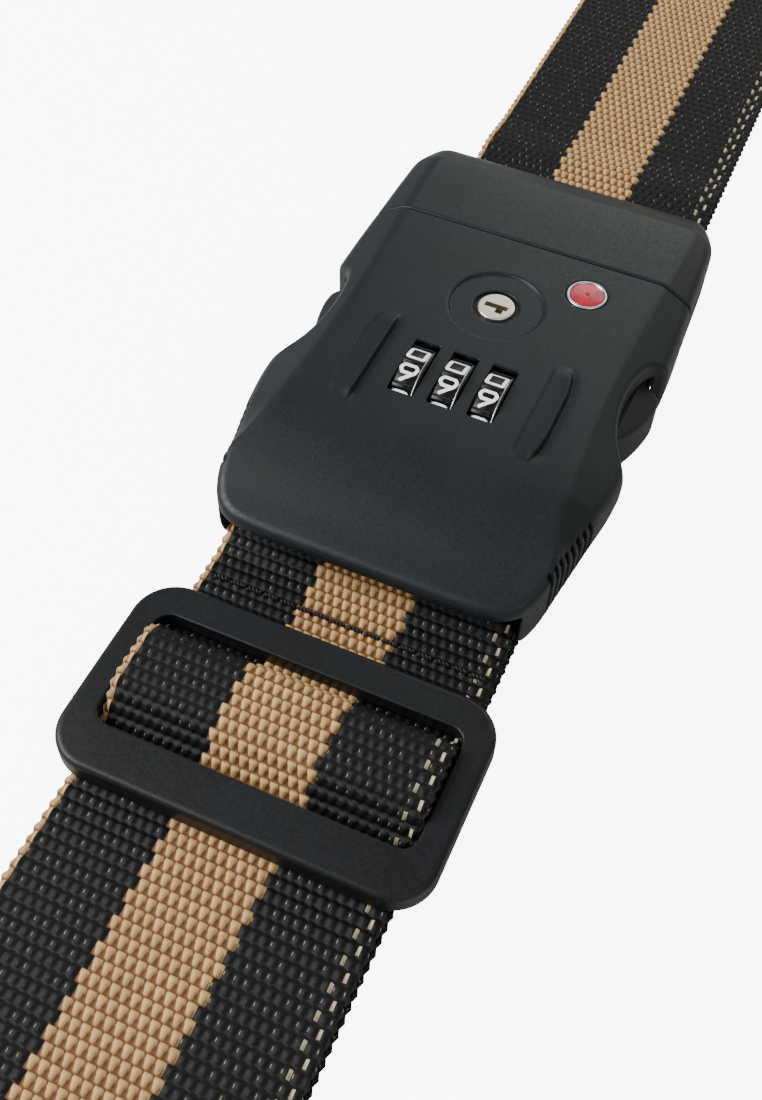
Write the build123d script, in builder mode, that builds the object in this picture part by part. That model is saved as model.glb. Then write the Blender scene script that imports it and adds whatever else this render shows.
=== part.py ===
from build123d import *
import os
from math import asin, cos, degrees, radians

os.makedirs("parts", exist_ok=True)

# A luggage strap: a closed loop of 50 mm webbing with a side-release buckle that holds a
# three-dial combination lock, and a slider that sets the length.
# Millimetres. X runs across the strap, Y along it from the slider to the plug, Z up.
# The origin lies on the face the strap rests on, midway across the webbing, below the point
# where the webbing leaves the socket.

# ---------------------------------------------------------------- driving dimensions
# Webbing and its four layers
WEB_WIDTH = 50.0
WEB_THICK = 1.4
LAYER_GAP = 0.1
LAYER_STEP = WEB_THICK + LAYER_GAP
OUTER_LOW_Z = WEB_THICK / 2
INNER_LOW_Z = OUTER_LOW_Z + LAYER_STEP
INNER_TOP_Z = INNER_LOW_Z + LAYER_STEP
OUTER_TOP_Z = INNER_TOP_Z + LAYER_STEP

# Loop ends: a stiff turn of outer radius TURN_RADIUS that flares out of the flat run
TURN_RADIUS = 11.0
FLARE_RADIUS = 30.0
SLIDER_END_Y = -163.0
PLUG_END_Y = 237.0
SPLIT_Y = 0.0
SPLIT_GAP = 0.2

# Buckle
BASE_Z = 2 * LAYER_STEP
TOP_Z = 21.2
SEAM_Y = 70.4
SEAM_GAP = 0.2
LIP_Y = -5.8
REAR_Y = 97.3
FACET_RUN = 16.0
FACET_DROP = 9.0
COVER_THICK = 2.0
COVER_TOP_Z = BASE_Z + COVER_THICK
FIT = 0.1

# Strap bars in the socket and the plug
BAR_RADIUS = 1.2
LOOP_RADIUS = BAR_RADIUS + 0.05 + WEB_THICK / 2
BAR_Z = INNER_TOP_Z + LOOP_RADIUS
SOCKET_BAR_Y = 4.0
PLUG_BAR_Y = 88.0
BAR_LENGTH = 54.0
THROAT_HALF = WEB_WIDTH / 2 + 0.6
THROAT_TOP_Z = BAR_Z + LOOP_RADIUS + WEB_THICK / 2 + 0.4
MOUTH_TOP_Z = 13.4
REAR_MOUTH_Z = 7.0

# Dials
DIAL_PITCH = 7.04
DIAL_RADIUS = 8.2
DIAL_WIDTH = 4.1
DIAL_Y = 32.2
DIAL_Z = TOP_Z - 6.6
DIGITS = 10
WINDOW_WIDTH = 4.5
WINDOW_LENGTH = 12.9
SPINDLE_RADIUS = 1.5
SLEEVE_RADIUS = 2.6
RUN_CLEAR = 0.05
DIAL_PLACES = {"left": -DIAL_PITCH, "middle": 0.0, "right": DIAL_PITCH}

# Key lock
KEY_Y = 52.5
KEY_RADIUS = 3.3
KEY_TOP_Z = TOP_Z - 0.25
KEY_BASE_Z = 7.6
KEY_SLEEVE_RADIUS = 4.0
KEYWAY = (4.2, 1.1)
KEYWAY_STEP = (1.3, 1.6)
KEYWAY_OFFSET = 0.8
HOUSING_RADIUS = 5.4
DISH_RADIUS = 9.0
DISH_DEPTH = 0.3
DISH_EDGE = 0.8
CAM_RADIUS = 4.2
CAM_THICK = 1.4
PIN_RADIUS = 0.9
PIN_OFFSET = 2.6
PLATE_THICK = 0.8
PLATE_Z = COVER_TOP_Z + 0.3

# Release arms
ARM_Z0 = 6.2
ARM_Z1 = 14.8
ARM_PIVOT_X = 26.8
ARM_PIVOT_Y = 79.0
ARM_ROOT_RADIUS = 1.6
CHANNEL_HALF = 29.3
CHANNEL_TOP_Z = 15.4

# Slider
SLIDER_LENGTH = 59.6
SLIDER_WIDTH = 34.2
SLIDER_Y = -33.4
SLIDER_Z0 = OUTER_TOP_Z + WEB_THICK / 2 + 0.15
SLIDER_THICK = 4.35
SLIDER_CORNER = 7.0
SLIDER_WINDOW_LENGTH = 51.4
SLIDER_WINDOW_WIDTH = 20.6
SLIDER_WINDOW_Y = -32.5
POCKET_Z = 7.5
POCKET_Y0 = -47.8
POCKET_Y1 = -18.6
CENTRE_BAR_WIDTH = 6.0
CENTRE_BAR_THICK = 2.0
CENTRE_BAR_Z = 8.6
HUMP_LOW_Z = POCKET_Z - 0.8
HUMP_TOP_Z = CENTRE_BAR_Z + CENTRE_BAR_THICK / 2 + 0.05 + WEB_THICK + 0.15 + WEB_THICK / 2

# Red enamel dot
BADGE_X = 13.5
BADGE_Y = 61.8
BADGE_RADIUS = 3.6

# Reset button
RESET_Y = 14.5
RESET_RADIUS = 1.6


# ---------------------------------------------------------------- webbing paths
# Direction from the centre of an end turn to the centre of its flare
FLARE_RISE = OUTER_TOP_Z + FLARE_RADIUS - TURN_RADIUS
FLARE_REACH = TURN_RADIUS - WEB_THICK / 2 + FLARE_RADIUS
FLARE_ANGLE = degrees(asin(FLARE_RISE / FLARE_REACH))
FLARE_SHIFT = FLARE_REACH * cos(radians(FLARE_ANGLE))


def turn_at_slider_end(inset):
    """End turn and flare at the -Y end, moved inwards by inset, in the YZ plane."""
    radius = TURN_RADIUS - WEB_THICK / 2 - inset
    CenterArc((SLIDER_END_Y, TURN_RADIUS), radius, FLARE_ANGLE, 270 - FLARE_ANGLE)
    flare_centre = (SLIDER_END_Y + FLARE_SHIFT, OUTER_TOP_Z + FLARE_RADIUS)
    CenterArc(flare_centre, FLARE_RADIUS + inset, 180 + FLARE_ANGLE, 90 - FLARE_ANGLE)


def turn_at_plug_end(inset):
    """End turn and flare at the +Y end, moved inwards by inset, in the YZ plane."""
    radius = TURN_RADIUS - WEB_THICK / 2 - inset
    CenterArc((PLUG_END_Y, TURN_RADIUS), radius, -90, 270 - FLARE_ANGLE)
    flare_centre = (PLUG_END_Y - FLARE_SHIFT, OUTER_TOP_Z + FLARE_RADIUS)
    CenterArc(flare_centre, FLARE_RADIUS + inset, 270, 90 - FLARE_ANGLE)


FLARE_START_Y = SLIDER_END_Y + FLARE_SHIFT
FLARE_STOP_Y = PLUG_END_Y - FLARE_SHIFT

# Outer run: sewn round the socket bar, under the slider, round the -Y end, back below
with BuildPart() as webbing_socket_run:
    with BuildSketch(Plane.YZ):
        with BuildLine():
            Line((-14.0, INNER_TOP_Z), (SOCKET_BAR_Y, INNER_TOP_Z))
            CenterArc((SOCKET_BAR_Y, BAR_Z), LOOP_RADIUS, -90, 180)
            FilletPolyline(
                (SOCKET_BAR_Y, BAR_Z + LOOP_RADIUS),
                (SOCKET_BAR_Y - 3, BAR_Z + LOOP_RADIUS),
                (-5.0, OUTER_TOP_Z),
                (FLARE_START_Y, OUTER_TOP_Z),
                radius=6,
            )
            turn_at_slider_end(0)
            Line((SLIDER_END_Y, OUTER_LOW_Z), (SPLIT_Y - SPLIT_GAP / 2, OUTER_LOW_Z))
        trace(line_width=WEB_THICK)
    extrude(amount=WEB_WIDTH / 2, both=True)

# Inner run on the slider's side
with BuildPart() as webbing_inner_run:
    with BuildSketch(Plane.YZ):
        with BuildLine():
            Line((-20.0, INNER_TOP_Z), (FLARE_START_Y, INNER_TOP_Z))
            turn_at_slider_end(LAYER_STEP)
            Line((SLIDER_END_Y, INNER_LOW_Z), (SPLIT_Y - SPLIT_GAP / 2, INNER_LOW_Z))
        trace(line_width=WEB_THICK)
    extrude(amount=WEB_WIDTH / 2, both=True)

# Plug's side: outer run round the +Y end to the plug bar, and back inside it
with BuildPart() as webbing_plug_run:
    with BuildSketch(Plane.YZ):
        with BuildLine():
            Line((SPLIT_Y + SPLIT_GAP / 2, OUTER_LOW_Z), (PLUG_END_Y, OUTER_LOW_Z))
            turn_at_plug_end(0)
            FilletPolyline(
                (FLARE_STOP_Y, OUTER_TOP_Z),
                (REAR_Y - 0.5, OUTER_TOP_Z),
                (PLUG_BAR_Y + 3, BAR_Z + LOOP_RADIUS),
                (PLUG_BAR_Y, BAR_Z + LOOP_RADIUS),
                radius=6,
            )
            CenterArc((PLUG_BAR_Y, BAR_Z), LOOP_RADIUS, 90, 180)
            Line((PLUG_BAR_Y, INNER_TOP_Z), (FLARE_STOP_Y, INNER_TOP_Z))
            turn_at_plug_end(LAYER_STEP)
            Line((PLUG_END_Y, INNER_LOW_Z), (SPLIT_Y + SPLIT_GAP / 2, INNER_LOW_Z))
        trace(line_width=WEB_THICK)
    extrude(amount=WEB_WIDTH / 2, both=True)

# The part of the outer run that climbs over the slider's centre bar
with BuildPart() as webbing_slider_turn:
    with BuildSketch(Plane.YZ):
        with BuildLine():
            FilletPolyline(
                (POCKET_Y1 - 0.3, HUMP_LOW_Z),
                (SLIDER_WINDOW_Y + 9.0, HUMP_LOW_Z),
                (SLIDER_WINDOW_Y + 4.1, HUMP_TOP_Z),
                (SLIDER_WINDOW_Y - 4.1, HUMP_TOP_Z),
                (SLIDER_WINDOW_Y - 9.0, HUMP_LOW_Z),
                (POCKET_Y0 + 0.3, HUMP_LOW_Z),
                radius=3.2,
            )
        trace(line_width=WEB_THICK)
    extrude(amount=WEB_WIDTH / 2, both=True)

# The webbing's fixed end, sewn round the centre bar
with BuildPart() as webbing_fixed_end:
    with BuildSketch(Plane.YZ):
        with Locations((SLIDER_WINDOW_Y, CENTRE_BAR_Z)):
            outer_length = CENTRE_BAR_WIDTH + 2 * (0.05 + WEB_THICK)
            outer_height = CENTRE_BAR_THICK + 2 * (0.05 + WEB_THICK)
            RectangleRounded(outer_length, outer_height, outer_height / 2 - 0.01)
            inner_height = CENTRE_BAR_THICK + 0.1
            RectangleRounded(
                CENTRE_BAR_WIDTH + 0.1, inner_height, inner_height / 2 - 0.01, mode=Mode.SUBTRACT
            )
    extrude(amount=WEB_WIDTH / 2, both=True)

# Lock-stitch rows that close the loop round the socket bar
STITCH_COUNT = 16
STITCH_LENGTH = 2.2
STITCH_Y = -10.3
with BuildPart() as stitch_row:
    with BuildSketch(Plane.YZ.offset(-STITCH_LENGTH / 2)) as stitch_end:
        with Locations((STITCH_Y, OUTER_TOP_Z + WEB_THICK / 2 + 0.27)):
            Circle(0.25)
    one_stitch = extrude(stitch_end.sketch, amount=STITCH_LENGTH, mode=Mode.PRIVATE)
    with GridLocations(WEB_WIDTH * 0.94 / STITCH_COUNT, 1, STITCH_COUNT, 1):
        add(one_stitch)

# ---------------------------------------------------------------- outer form of the buckle
# Right half of the outline seen from above, from the lip to the rear corner
REAR_CORNER_RADIUS = 12.4
REAR_CORNER_X = 18.0
SIDE_POINTS = [
    (15.0, LIP_Y),
    (20.0, -5.5),
    (23.4, -4.6),
    (26.0, -2.4),
    (27.9, 1.5),
    (29.2, 8.0),
    (31.0, 18.0),
    (32.0, 27.0),
    (31.7, 42.0),
    (31.5, 60.0),
    (31.0, SEAM_Y),
    (REAR_CORNER_X + REAR_CORNER_RADIUS, REAR_Y - REAR_CORNER_RADIUS),
]
# Edge of the raised middle, as half width and Y
CREASE_POINTS = [
    (40.0, -12.0),
    (33.5, 0.0),
    (28.4, 5.0),
    (25.8, 9.5),
    (24.6, 16.0),
    (23.8, 32.0),
    (23.8, 45.0),
    (24.4, 60.0),
    (25.0, SEAM_Y),
    (25.6, 84.0),
    (26.0, 104.0),
]
NOTCH_POINTS = [
    (36.0, 55.0),
    (31.4, 54.6),
    (28.6, 52.4),
    (27.2, 47.5),
    (27.0, 41.0),
    (28.2, 35.0),
    (30.4, 31.0),
    (32.6, 27.8),
    (36.0, 27.0),
]

with BuildPart() as outline_prism:
    with BuildSketch(Plane.XY.offset(BASE_Z)):
        with BuildLine():
            Line((0, LIP_Y), SIDE_POINTS[0])
            Spline(*SIDE_POINTS)
            corner_centre = (REAR_CORNER_X, REAR_Y - REAR_CORNER_RADIUS)
            CenterArc(corner_centre, REAR_CORNER_RADIUS, 0, 90)
            Line((REAR_CORNER_X, REAR_Y), (0, REAR_Y))
            mirror(about=Plane.YZ)
        make_face()
    extrude(amount=TOP_Z - BASE_Z)

with BuildPart() as side_profile:
    with BuildSketch(Plane.YZ):
        with BuildLine():
            Spline(
                (LIP_Y - 0.01, TOP_Z - 7.2),
                (-5.2, TOP_Z - 5.7),
                (0.0, TOP_Z - 4.2),
                (7.0, TOP_Z - 2.1),
                (14.0, TOP_Z - 0.6),
                (22.0, TOP_Z),
                tangents=[(0, 1), (1, 0)],
            )
            Line((22.0, TOP_Z), (82.0, TOP_Z))
            Spline(
                (82.0, TOP_Z),
                (89.5, TOP_Z - 0.9),
                (94.6, TOP_Z - 3.6),
                (REAR_Y + 0.01, TOP_Z - 9),
                tangents=[(1, 0), (0, -1)],
            )
            Polyline(
                (REAR_Y + 0.01, TOP_Z - 9),
                (REAR_Y + 0.01, BASE_Z),
                (LIP_Y - 0.01, BASE_Z),
                (LIP_Y - 0.01, TOP_Z - 7.2),
            )
        make_face()
    extrude(amount=40, both=True)


def crease_outline(height, spread):
    """Face of the raised middle at a height, made wider by spread on each side."""
    with BuildSketch(Plane.XY.offset(height)) as outline:
        with BuildLine():
            shifted = [(x + spread, y) for x, y in CREASE_POINTS]
            Spline(*shifted)
            Line(shifted[-1], (0, shifted[-1][1]))
            Line((0, shifted[0][1]), shifted[0])
            mirror(about=Plane.YZ)
        make_face()
    return outline.sketch


top_outline = crease_outline(TOP_Z, 0)
low_outline = crease_outline(TOP_Z - FACET_DROP, FACET_RUN)
with BuildPart() as roof:
    loft([low_outline, top_outline])
    extrude(low_outline, amount=-(TOP_Z - FACET_DROP), dir=(0, 0, 1))


def buckle_form(low_y, high_y):
    """The solid outer form of the buckle between two places along Y."""
    with BuildPart() as form:
        add(outline_prism.part)
        with BuildSketch():
            with Locations((0, (low_y + high_y) / 2)):
                Rectangle(100, high_y - low_y)
        extrude(amount=TOP_Z + 1, mode=Mode.INTERSECT)
        add(side_profile.part, mode=Mode.INTERSECT)
        add(roof.part, mode=Mode.INTERSECT)
    return form.part


socket_form = buckle_form(LIP_Y - 1, SEAM_Y - SEAM_GAP)
plug_form = buckle_form(SEAM_Y, REAR_Y + 1)


def notch_edge(spread):
    """Closed edge of the right side window, with its inner side moved inwards by spread."""
    shifted = [(x - spread, y) for x, y in NOTCH_POINTS]
    Spline(*shifted)
    Polyline(shifted[-1], (42.0, shifted[-1][1]), (42.0, shifted[0][1]), shifted[0])


with BuildSketch(Plane.XY.offset(BASE_Z)) as side_windows:
    with BuildLine():
        notch_edge(0)
    make_face()
    mirror(about=Plane.YZ)

# ---------------------------------------------------------------- socket, upper shell
ROOF_THICK = 2.2
DIAL_ROOF_THICK = 0.9
DIAL_RELIEF_LENGTH = 15.4
THROAT_Y1 = 8.9
PLUG_THROAT_Y0 = 83.2
BADGE_SEAT = 0.8
LENS_RISE = 0.6
LENS_POINTS = [
    (14.4, 21.0),
    (17.6, 21.7),
    (18.2, 27.0),
    (18.3, 32.0),
    (18.3, 37.0),
    (17.4, 41.4),
    (14.6, 43.0),
]
SCREW_HEAD_HEIGHT = 0.9
HOUSING_Z = 9.4
KEYWAY_DEPTH = 5.0
ROOT_POCKET_Y1 = 81.0
ROOT_POCKET_WIDTH = 5.6
TONGUE_Y0 = 61.0
TONGUE_HALF = 14.0
TONGUE_Z0 = 8.4
TONGUE_THICK = 4.0
PLUG_RIB_RADIUS = 0.45
ARM_ROOM_Y = 31.0
CHAMBER_HALF = 22.5
CHAMBER_Y = 10.5
SCREW_PLACES = [
    (-24.4, 13.4),
    (24.4, 13.4),
    (-25.4, 25.0),
    (25.4, 25.0),
    (-18.6, 64.0),
    (18.6, 64.0),
]
SCREW_RADIUS = 1.0
SCREW_HEAD_RADIUS = 1.9
SCREW_DEPTH = 6.0
BOSS_RADIUS = 2.6
COVER_INSET = 3.2
COVER_Y0 = CHAMBER_Y - 0.6
COVER_Y1 = SEAM_Y - SEAM_GAP - 0.6
RIB_COUNT = 8
RIB_PITCH = 1.75
RIB_Y = 3.6
RIB_RADIUS = 0.55
PLUG_RIB_COUNT = 8
PLUG_RIB_PITCH = 1.4
PLUG_RIB_Y = 73.8


def side_x(y):
    """Half width of the outline at y, on straight lines between its points."""
    for (x0, y0), (x1, y1) in zip(SIDE_POINTS, SIDE_POINTS[1:]):
        if y0 <= y <= y1:
            return x0 + (x1 - x0) * (y - y0) / (y1 - y0)
    return 0.0


def cover_outline(inset, notch_spread, grow):
    """Outline of the back cover: the socket's outline moved inwards by inset."""
    sides = [(x - inset, y) for x, y in SIDE_POINTS if CHAMBER_Y - 3 < y < SEAM_Y + 1]
    with BuildSketch(Plane.XY.offset(BASE_Z)) as outline:
        with BuildLine():
            Line((0, sides[0][1]), sides[0])
            Spline(*sides)
            Line(sides[-1], (0, sides[-1][1]))
            mirror(about=Plane.YZ)
        make_face()
        with Locations((0, (COVER_Y0 + COVER_Y1) / 2)):
            Rectangle(80, COVER_Y1 - COVER_Y0 + 2 * grow, mode=Mode.INTERSECT)
        with BuildLine():
            notch_edge(notch_spread)
        make_face(mode=Mode.SUBTRACT)
        split(bisect_by=Plane.YZ, keep=Keep.TOP)
        mirror(about=Plane.YZ)
    return outline.sketch


cover_sketch = cover_outline(COVER_INSET, 2.4, 0)
cover_seat_sketch = cover_outline(COVER_INSET - FIT, 2.4 - FIT, FIT)

with BuildPart() as socket_top_shell:
    add(socket_form)
    # side windows for the release arms
    extrude(side_windows.sketch, amount=TOP_Z, mode=Mode.SUBTRACT)
    # lock chamber
    with BuildSketch(Plane.XY.offset(COVER_TOP_Z)):
        with Locations((0, (CHAMBER_Y + SEAM_Y) / 2)):
            Rectangle(2 * CHAMBER_HALF, SEAM_Y - CHAMBER_Y)
    extrude(amount=TOP_Z - ROOF_THICK - COVER_TOP_Z, mode=Mode.SUBTRACT)
    # room for the arms
    with BuildSketch(Plane.XY.offset(COVER_TOP_Z)):
        with Locations((0, (ARM_ROOM_Y + SEAM_Y) / 2)):
            Rectangle(2 * CHANNEL_HALF, SEAM_Y - ARM_ROOM_Y)
    extrude(amount=CHANNEL_TOP_Z - COVER_TOP_Z, mode=Mode.SUBTRACT)
    # mouth and throat for the webbing
    with BuildSketch(Plane.XY.offset(BASE_Z)):
        with Locations((0, (LIP_Y - 1 + THROAT_Y1) / 2)):
            Rectangle(2 * THROAT_HALF, THROAT_Y1 - LIP_Y + 1)
    extrude(amount=MOUTH_TOP_Z - BASE_Z, mode=Mode.SUBTRACT)
    # seat of the back cover
    extrude(cover_seat_sketch, amount=COVER_THICK + 0.01, mode=Mode.SUBTRACT)
    # screw bosses at the seam end, and pilot holes
    with BuildSketch(Plane.XY.offset(COVER_TOP_Z + FIT)):
        with Locations(*SCREW_PLACES[4:]):
            Circle(BOSS_RADIUS)
    extrude(amount=TOP_Z - ROOF_THICK - COVER_TOP_Z)
    with BuildSketch(Plane.XY.offset(COVER_TOP_Z)):
        with Locations(*SCREW_PLACES):
            Circle(SCREW_RADIUS)
    extrude(amount=SCREW_DEPTH + 0.5, mode=Mode.SUBTRACT)
    # strap bar holes
    with BuildSketch(Plane.YZ):
        with Locations((SOCKET_BAR_Y, BAR_Z)):
            Circle(BAR_RADIUS)
    extrude(amount=BAR_LENGTH / 2, both=True, mode=Mode.SUBTRACT)
    # relief inside the roof for the crowns of the dials
    with BuildSketch(Plane.XY.offset(TOP_Z - ROOF_THICK - 0.1)):
        with Locations((0, DIAL_Y)):
            Rectangle(3 * DIAL_PITCH, DIAL_RELIEF_LENGTH)
    extrude(amount=ROOF_THICK + 0.1 - DIAL_ROOF_THICK, mode=Mode.SUBTRACT)
    # dial windows
    with BuildSketch(Plane.XY.offset(TOP_Z - ROOF_THICK - 1)):
        with Locations((0, DIAL_Y)):
            with GridLocations(DIAL_PITCH, 1, 3, 1):
                RectangleRounded(WINDOW_WIDTH, WINDOW_LENGTH, 0.4)
    extrude(amount=ROOF_THICK + 2, mode=Mode.SUBTRACT)
    # shallow dish round the key, and its hole
    with BuildSketch(Plane.XZ.offset(-KEY_Y)):
        with BuildLine():
            Polyline(
                (0, TOP_Z + 1),
                (0, TOP_Z - DISH_DEPTH),
                (DISH_RADIUS - DISH_EDGE, TOP_Z - DISH_DEPTH),
                (DISH_RADIUS, TOP_Z),
                (DISH_RADIUS, TOP_Z + 1),
                close=True,
            )
        make_face()
    revolve(axis=Axis((0, KEY_Y, 0), (0, 0, 1)), mode=Mode.SUBTRACT)
    with BuildSketch(Plane.XY.offset(TOP_Z - ROOF_THICK - 1)):
        with Locations((0, KEY_Y)):
            Circle(KEY_SLEEVE_RADIUS + RUN_CLEAR)
    extrude(amount=ROOF_THICK + 2, mode=Mode.SUBTRACT)
    # recess for the enamel dot
    with BuildSketch(Plane.XY.offset(TOP_Z - BADGE_SEAT)):
        with Locations((BADGE_X, BADGE_Y)):
            Circle(BADGE_RADIUS + FIT)
    extrude(amount=BADGE_SEAT + 1, mode=Mode.SUBTRACT)
    # grip grooves in the side walls near the lip
    with BuildSketch(Plane.XY.offset(BASE_Z)):
        for index in range(RIB_COUNT):
            rib_y = RIB_Y + index * RIB_PITCH
            with Locations((side_x(rib_y), rib_y), (-side_x(rib_y), rib_y)):
                Circle(RIB_RADIUS)
    extrude(amount=TOP_Z - BASE_Z, mode=Mode.SUBTRACT)
    # raised lenses that flank the dials
    with BuildSketch(Plane.XY.offset(TOP_Z - 0.5)):
        with BuildLine():
            Spline(*LENS_POINTS)
            Line(LENS_POINTS[-1], LENS_POINTS[0])
        make_face()
        mirror(about=Plane.YZ)
    extrude(amount=LENS_RISE + 0.5)
socket_top_shell.part.label = "socket_top_shell"
export_step(socket_top_shell.part, "parts/socket_top_shell.step")

# ---------------------------------------------------------------- socket, back cover and screws
with BuildPart() as socket_back_cover:
    extrude(cover_sketch, amount=COVER_THICK)
    with BuildSketch(Plane.XY.offset(BASE_Z)):
        with Locations(*SCREW_PLACES):
            Circle(SCREW_RADIUS + 0.15)
    extrude(amount=COVER_THICK, mode=Mode.SUBTRACT)
    with BuildSketch(Plane.XY.offset(BASE_Z)):
        with Locations(*SCREW_PLACES):
            Circle(SCREW_HEAD_RADIUS + 0.15)
    extrude(amount=SCREW_HEAD_HEIGHT, mode=Mode.SUBTRACT)
    with BuildSketch(Plane.XY.offset(BASE_Z)):
        with Locations((0, RESET_Y)):
            Circle(RESET_RADIUS + RUN_CLEAR)
    extrude(amount=COVER_THICK, mode=Mode.SUBTRACT)
socket_back_cover.part.label = "socket_back_cover"
export_step(socket_back_cover.part, "parts/socket_back_cover.step")

with BuildPart() as cover_screws:
    with BuildSketch(Plane.XY.offset(BASE_Z + 0.2)) as screw_heads:
        with Locations(*SCREW_PLACES):
            Circle(SCREW_HEAD_RADIUS)
    extrude(amount=SCREW_HEAD_HEIGHT - 0.2)
    with BuildSketch(Plane.XY.offset(BASE_Z + SCREW_HEAD_HEIGHT)):
        with Locations(*SCREW_PLACES):
            Circle(SCREW_RADIUS)
    extrude(amount=COVER_THICK - SCREW_HEAD_HEIGHT + SCREW_DEPTH)
    with BuildSketch(Plane.XY.offset(BASE_Z + 0.2)):
        with Locations(*SCREW_PLACES):
            Rectangle(2.2, 0.5)
            Rectangle(0.5, 2.2)
    extrude(amount=0.7, mode=Mode.SUBTRACT)
cover_screws.part.label = "cover_screws"
export_step(cover_screws.part, "parts/cover_screws.step")


# ---------------------------------------------------------------- strap bars
with BuildPart() as socket_strap_bar:
    with BuildSketch(Plane.YZ):
        with Locations((SOCKET_BAR_Y, BAR_Z)):
            Circle(BAR_RADIUS)
    extrude(amount=BAR_LENGTH / 2, both=True)
socket_strap_bar.part.label = "socket_strap_bar"
export_step(socket_strap_bar.part, "parts/socket_strap_bar.step")

with BuildPart() as plug_strap_bar:
    with BuildSketch(Plane.YZ):
        with Locations((PLUG_BAR_Y, BAR_Z)):
            Circle(BAR_RADIUS)
    extrude(amount=BAR_LENGTH / 2, both=True)
plug_strap_bar.part.label = "plug_strap_bar"
export_step(plug_strap_bar.part, "parts/plug_strap_bar.step")

# ---------------------------------------------------------------- dial pack
CHASSIS_WALL = 2.4
CHASSIS_Z0 = COVER_TOP_Z + 0.05
CHASSIS_TOP_Z = TOP_Z - ROOF_THICK - 0.1
RAIL_THICK = 1.6
CHASSIS_HALF_Y = DIAL_RADIUS + 0.4 + RAIL_THICK
CHASSIS_HALF_X = 1.5 * DIAL_PITCH + CHASSIS_WALL / 2

with BuildPart() as lock_chassis:
    with BuildSketch(Plane.XY.offset(CHASSIS_Z0)):
        with Locations((0, DIAL_Y)):
            Rectangle(2 * CHASSIS_HALF_X, 2 * CHASSIS_HALF_Y)
    extrude(amount=CHASSIS_TOP_Z - 1.5 - CHASSIS_Z0)
    with BuildSketch(Plane.XY.offset(CHASSIS_Z0)):
        with Locations((0, DIAL_Y)):
            with GridLocations(DIAL_PITCH, 1, 3, 1):
                Rectangle(DIAL_PITCH - CHASSIS_WALL, 2 * (DIAL_RADIUS + 0.4))
    extrude(amount=TOP_Z, mode=Mode.SUBTRACT)
    with BuildSketch(Plane.YZ):
        with Locations((DIAL_Y, DIAL_Z)):
            Circle(SPINDLE_RADIUS)
    extrude(amount=40, both=True, mode=Mode.SUBTRACT)
lock_chassis.part.label = "lock_chassis"
export_step(lock_chassis.part, "parts/lock_chassis.step")

with BuildPart() as dial_spindle:
    with BuildSketch(Plane.YZ.offset(-CHASSIS_HALF_X - 0.6)):
        with Locations((DIAL_Y, DIAL_Z)):
            Circle(SPINDLE_RADIUS)
    extrude(amount=2 * CHASSIS_HALF_X + 4.6)
    with BuildSketch(Plane.YZ.offset(CHASSIS_HALF_X + 4.0)):
        with Locations((DIAL_Y, DIAL_Z)):
            Circle(SPINDLE_RADIUS + 1.1)
    extrude(amount=0.9)
dial_spindle.part.label = "dial_spindle"
export_step(dial_spindle.part, "parts/dial_spindle.step")

with BuildPart() as spindle_spring:
    with BuildLine() as spring_line:
        Helix(
            pitch=0.95,
            height=3.0,
            radius=SPINDLE_RADIUS + 0.6,
            center=(CHASSIS_HALF_X + 0.4, DIAL_Y, DIAL_Z),
            direction=(1, 0, 0),
        )
    with BuildSketch(Plane(origin=spring_line.line @ 0, z_dir=spring_line.line % 0)):
        Circle(0.25)
    sweep()
spindle_spring.part.label = "spindle_spring"
export_step(spindle_spring.part, "parts/spindle_spring.step")

RIDGE_WIDTH = 0.8
RIDGE_HEIGHT = 0.45
FLANGE_WIDTH = 0.35
for side, place in DIAL_PLACES.items():
    with BuildPart() as dial:
        with BuildSketch(Plane.YZ.offset(place - DIAL_WIDTH / 2)):
            with Locations((DIAL_Y, DIAL_Z)):
                Circle(DIAL_RADIUS - RIDGE_HEIGHT)
                with PolarLocations(DIAL_RADIUS - 0.6, DIGITS, start_angle=180 / DIGITS):
                    Rectangle(1.2, RIDGE_WIDTH)
                Circle(SLEEVE_RADIUS, mode=Mode.SUBTRACT)
        extrude(amount=DIAL_WIDTH)
        with BuildSketch(Plane.YZ.offset(place + DIAL_WIDTH / 2 - FLANGE_WIDTH)):
            with Locations((DIAL_Y, DIAL_Z)):
                Circle(DIAL_RADIUS - 0.15)
                Circle(SLEEVE_RADIUS, mode=Mode.SUBTRACT)
        extrude(amount=FLANGE_WIDTH)
    dial.part.label = "dial_" + side
    export_step(dial.part, "parts/dial_" + side + ".step")

    with BuildPart() as sleeve:
        with BuildSketch(Plane.YZ.offset(place - DIAL_WIDTH / 2)):
            with Locations((DIAL_Y, DIAL_Z)):
                Circle(SLEEVE_RADIUS)
                Circle(SPINDLE_RADIUS + RUN_CLEAR, mode=Mode.SUBTRACT)
        extrude(amount=DIAL_WIDTH)
    sleeve.part.label = "dial_sleeve_" + side
    export_step(sleeve.part, "parts/dial_sleeve_" + side + ".step")

# One flat spring strip along the chassis rail, for all the dials
DETENT_THICK = 0.3
with BuildPart() as detent_spring:
    with BuildSketch(Plane.XY.offset(CHASSIS_TOP_Z - 1.5)):
        with Locations((0, DIAL_Y - CHASSIS_HALF_Y + RAIL_THICK / 2)):
            Rectangle(2 * CHASSIS_HALF_X, RAIL_THICK)
    extrude(amount=DETENT_THICK)
detent_spring.part.label = "detent_spring"
export_step(detent_spring.part, "parts/detent_spring.step")

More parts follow.
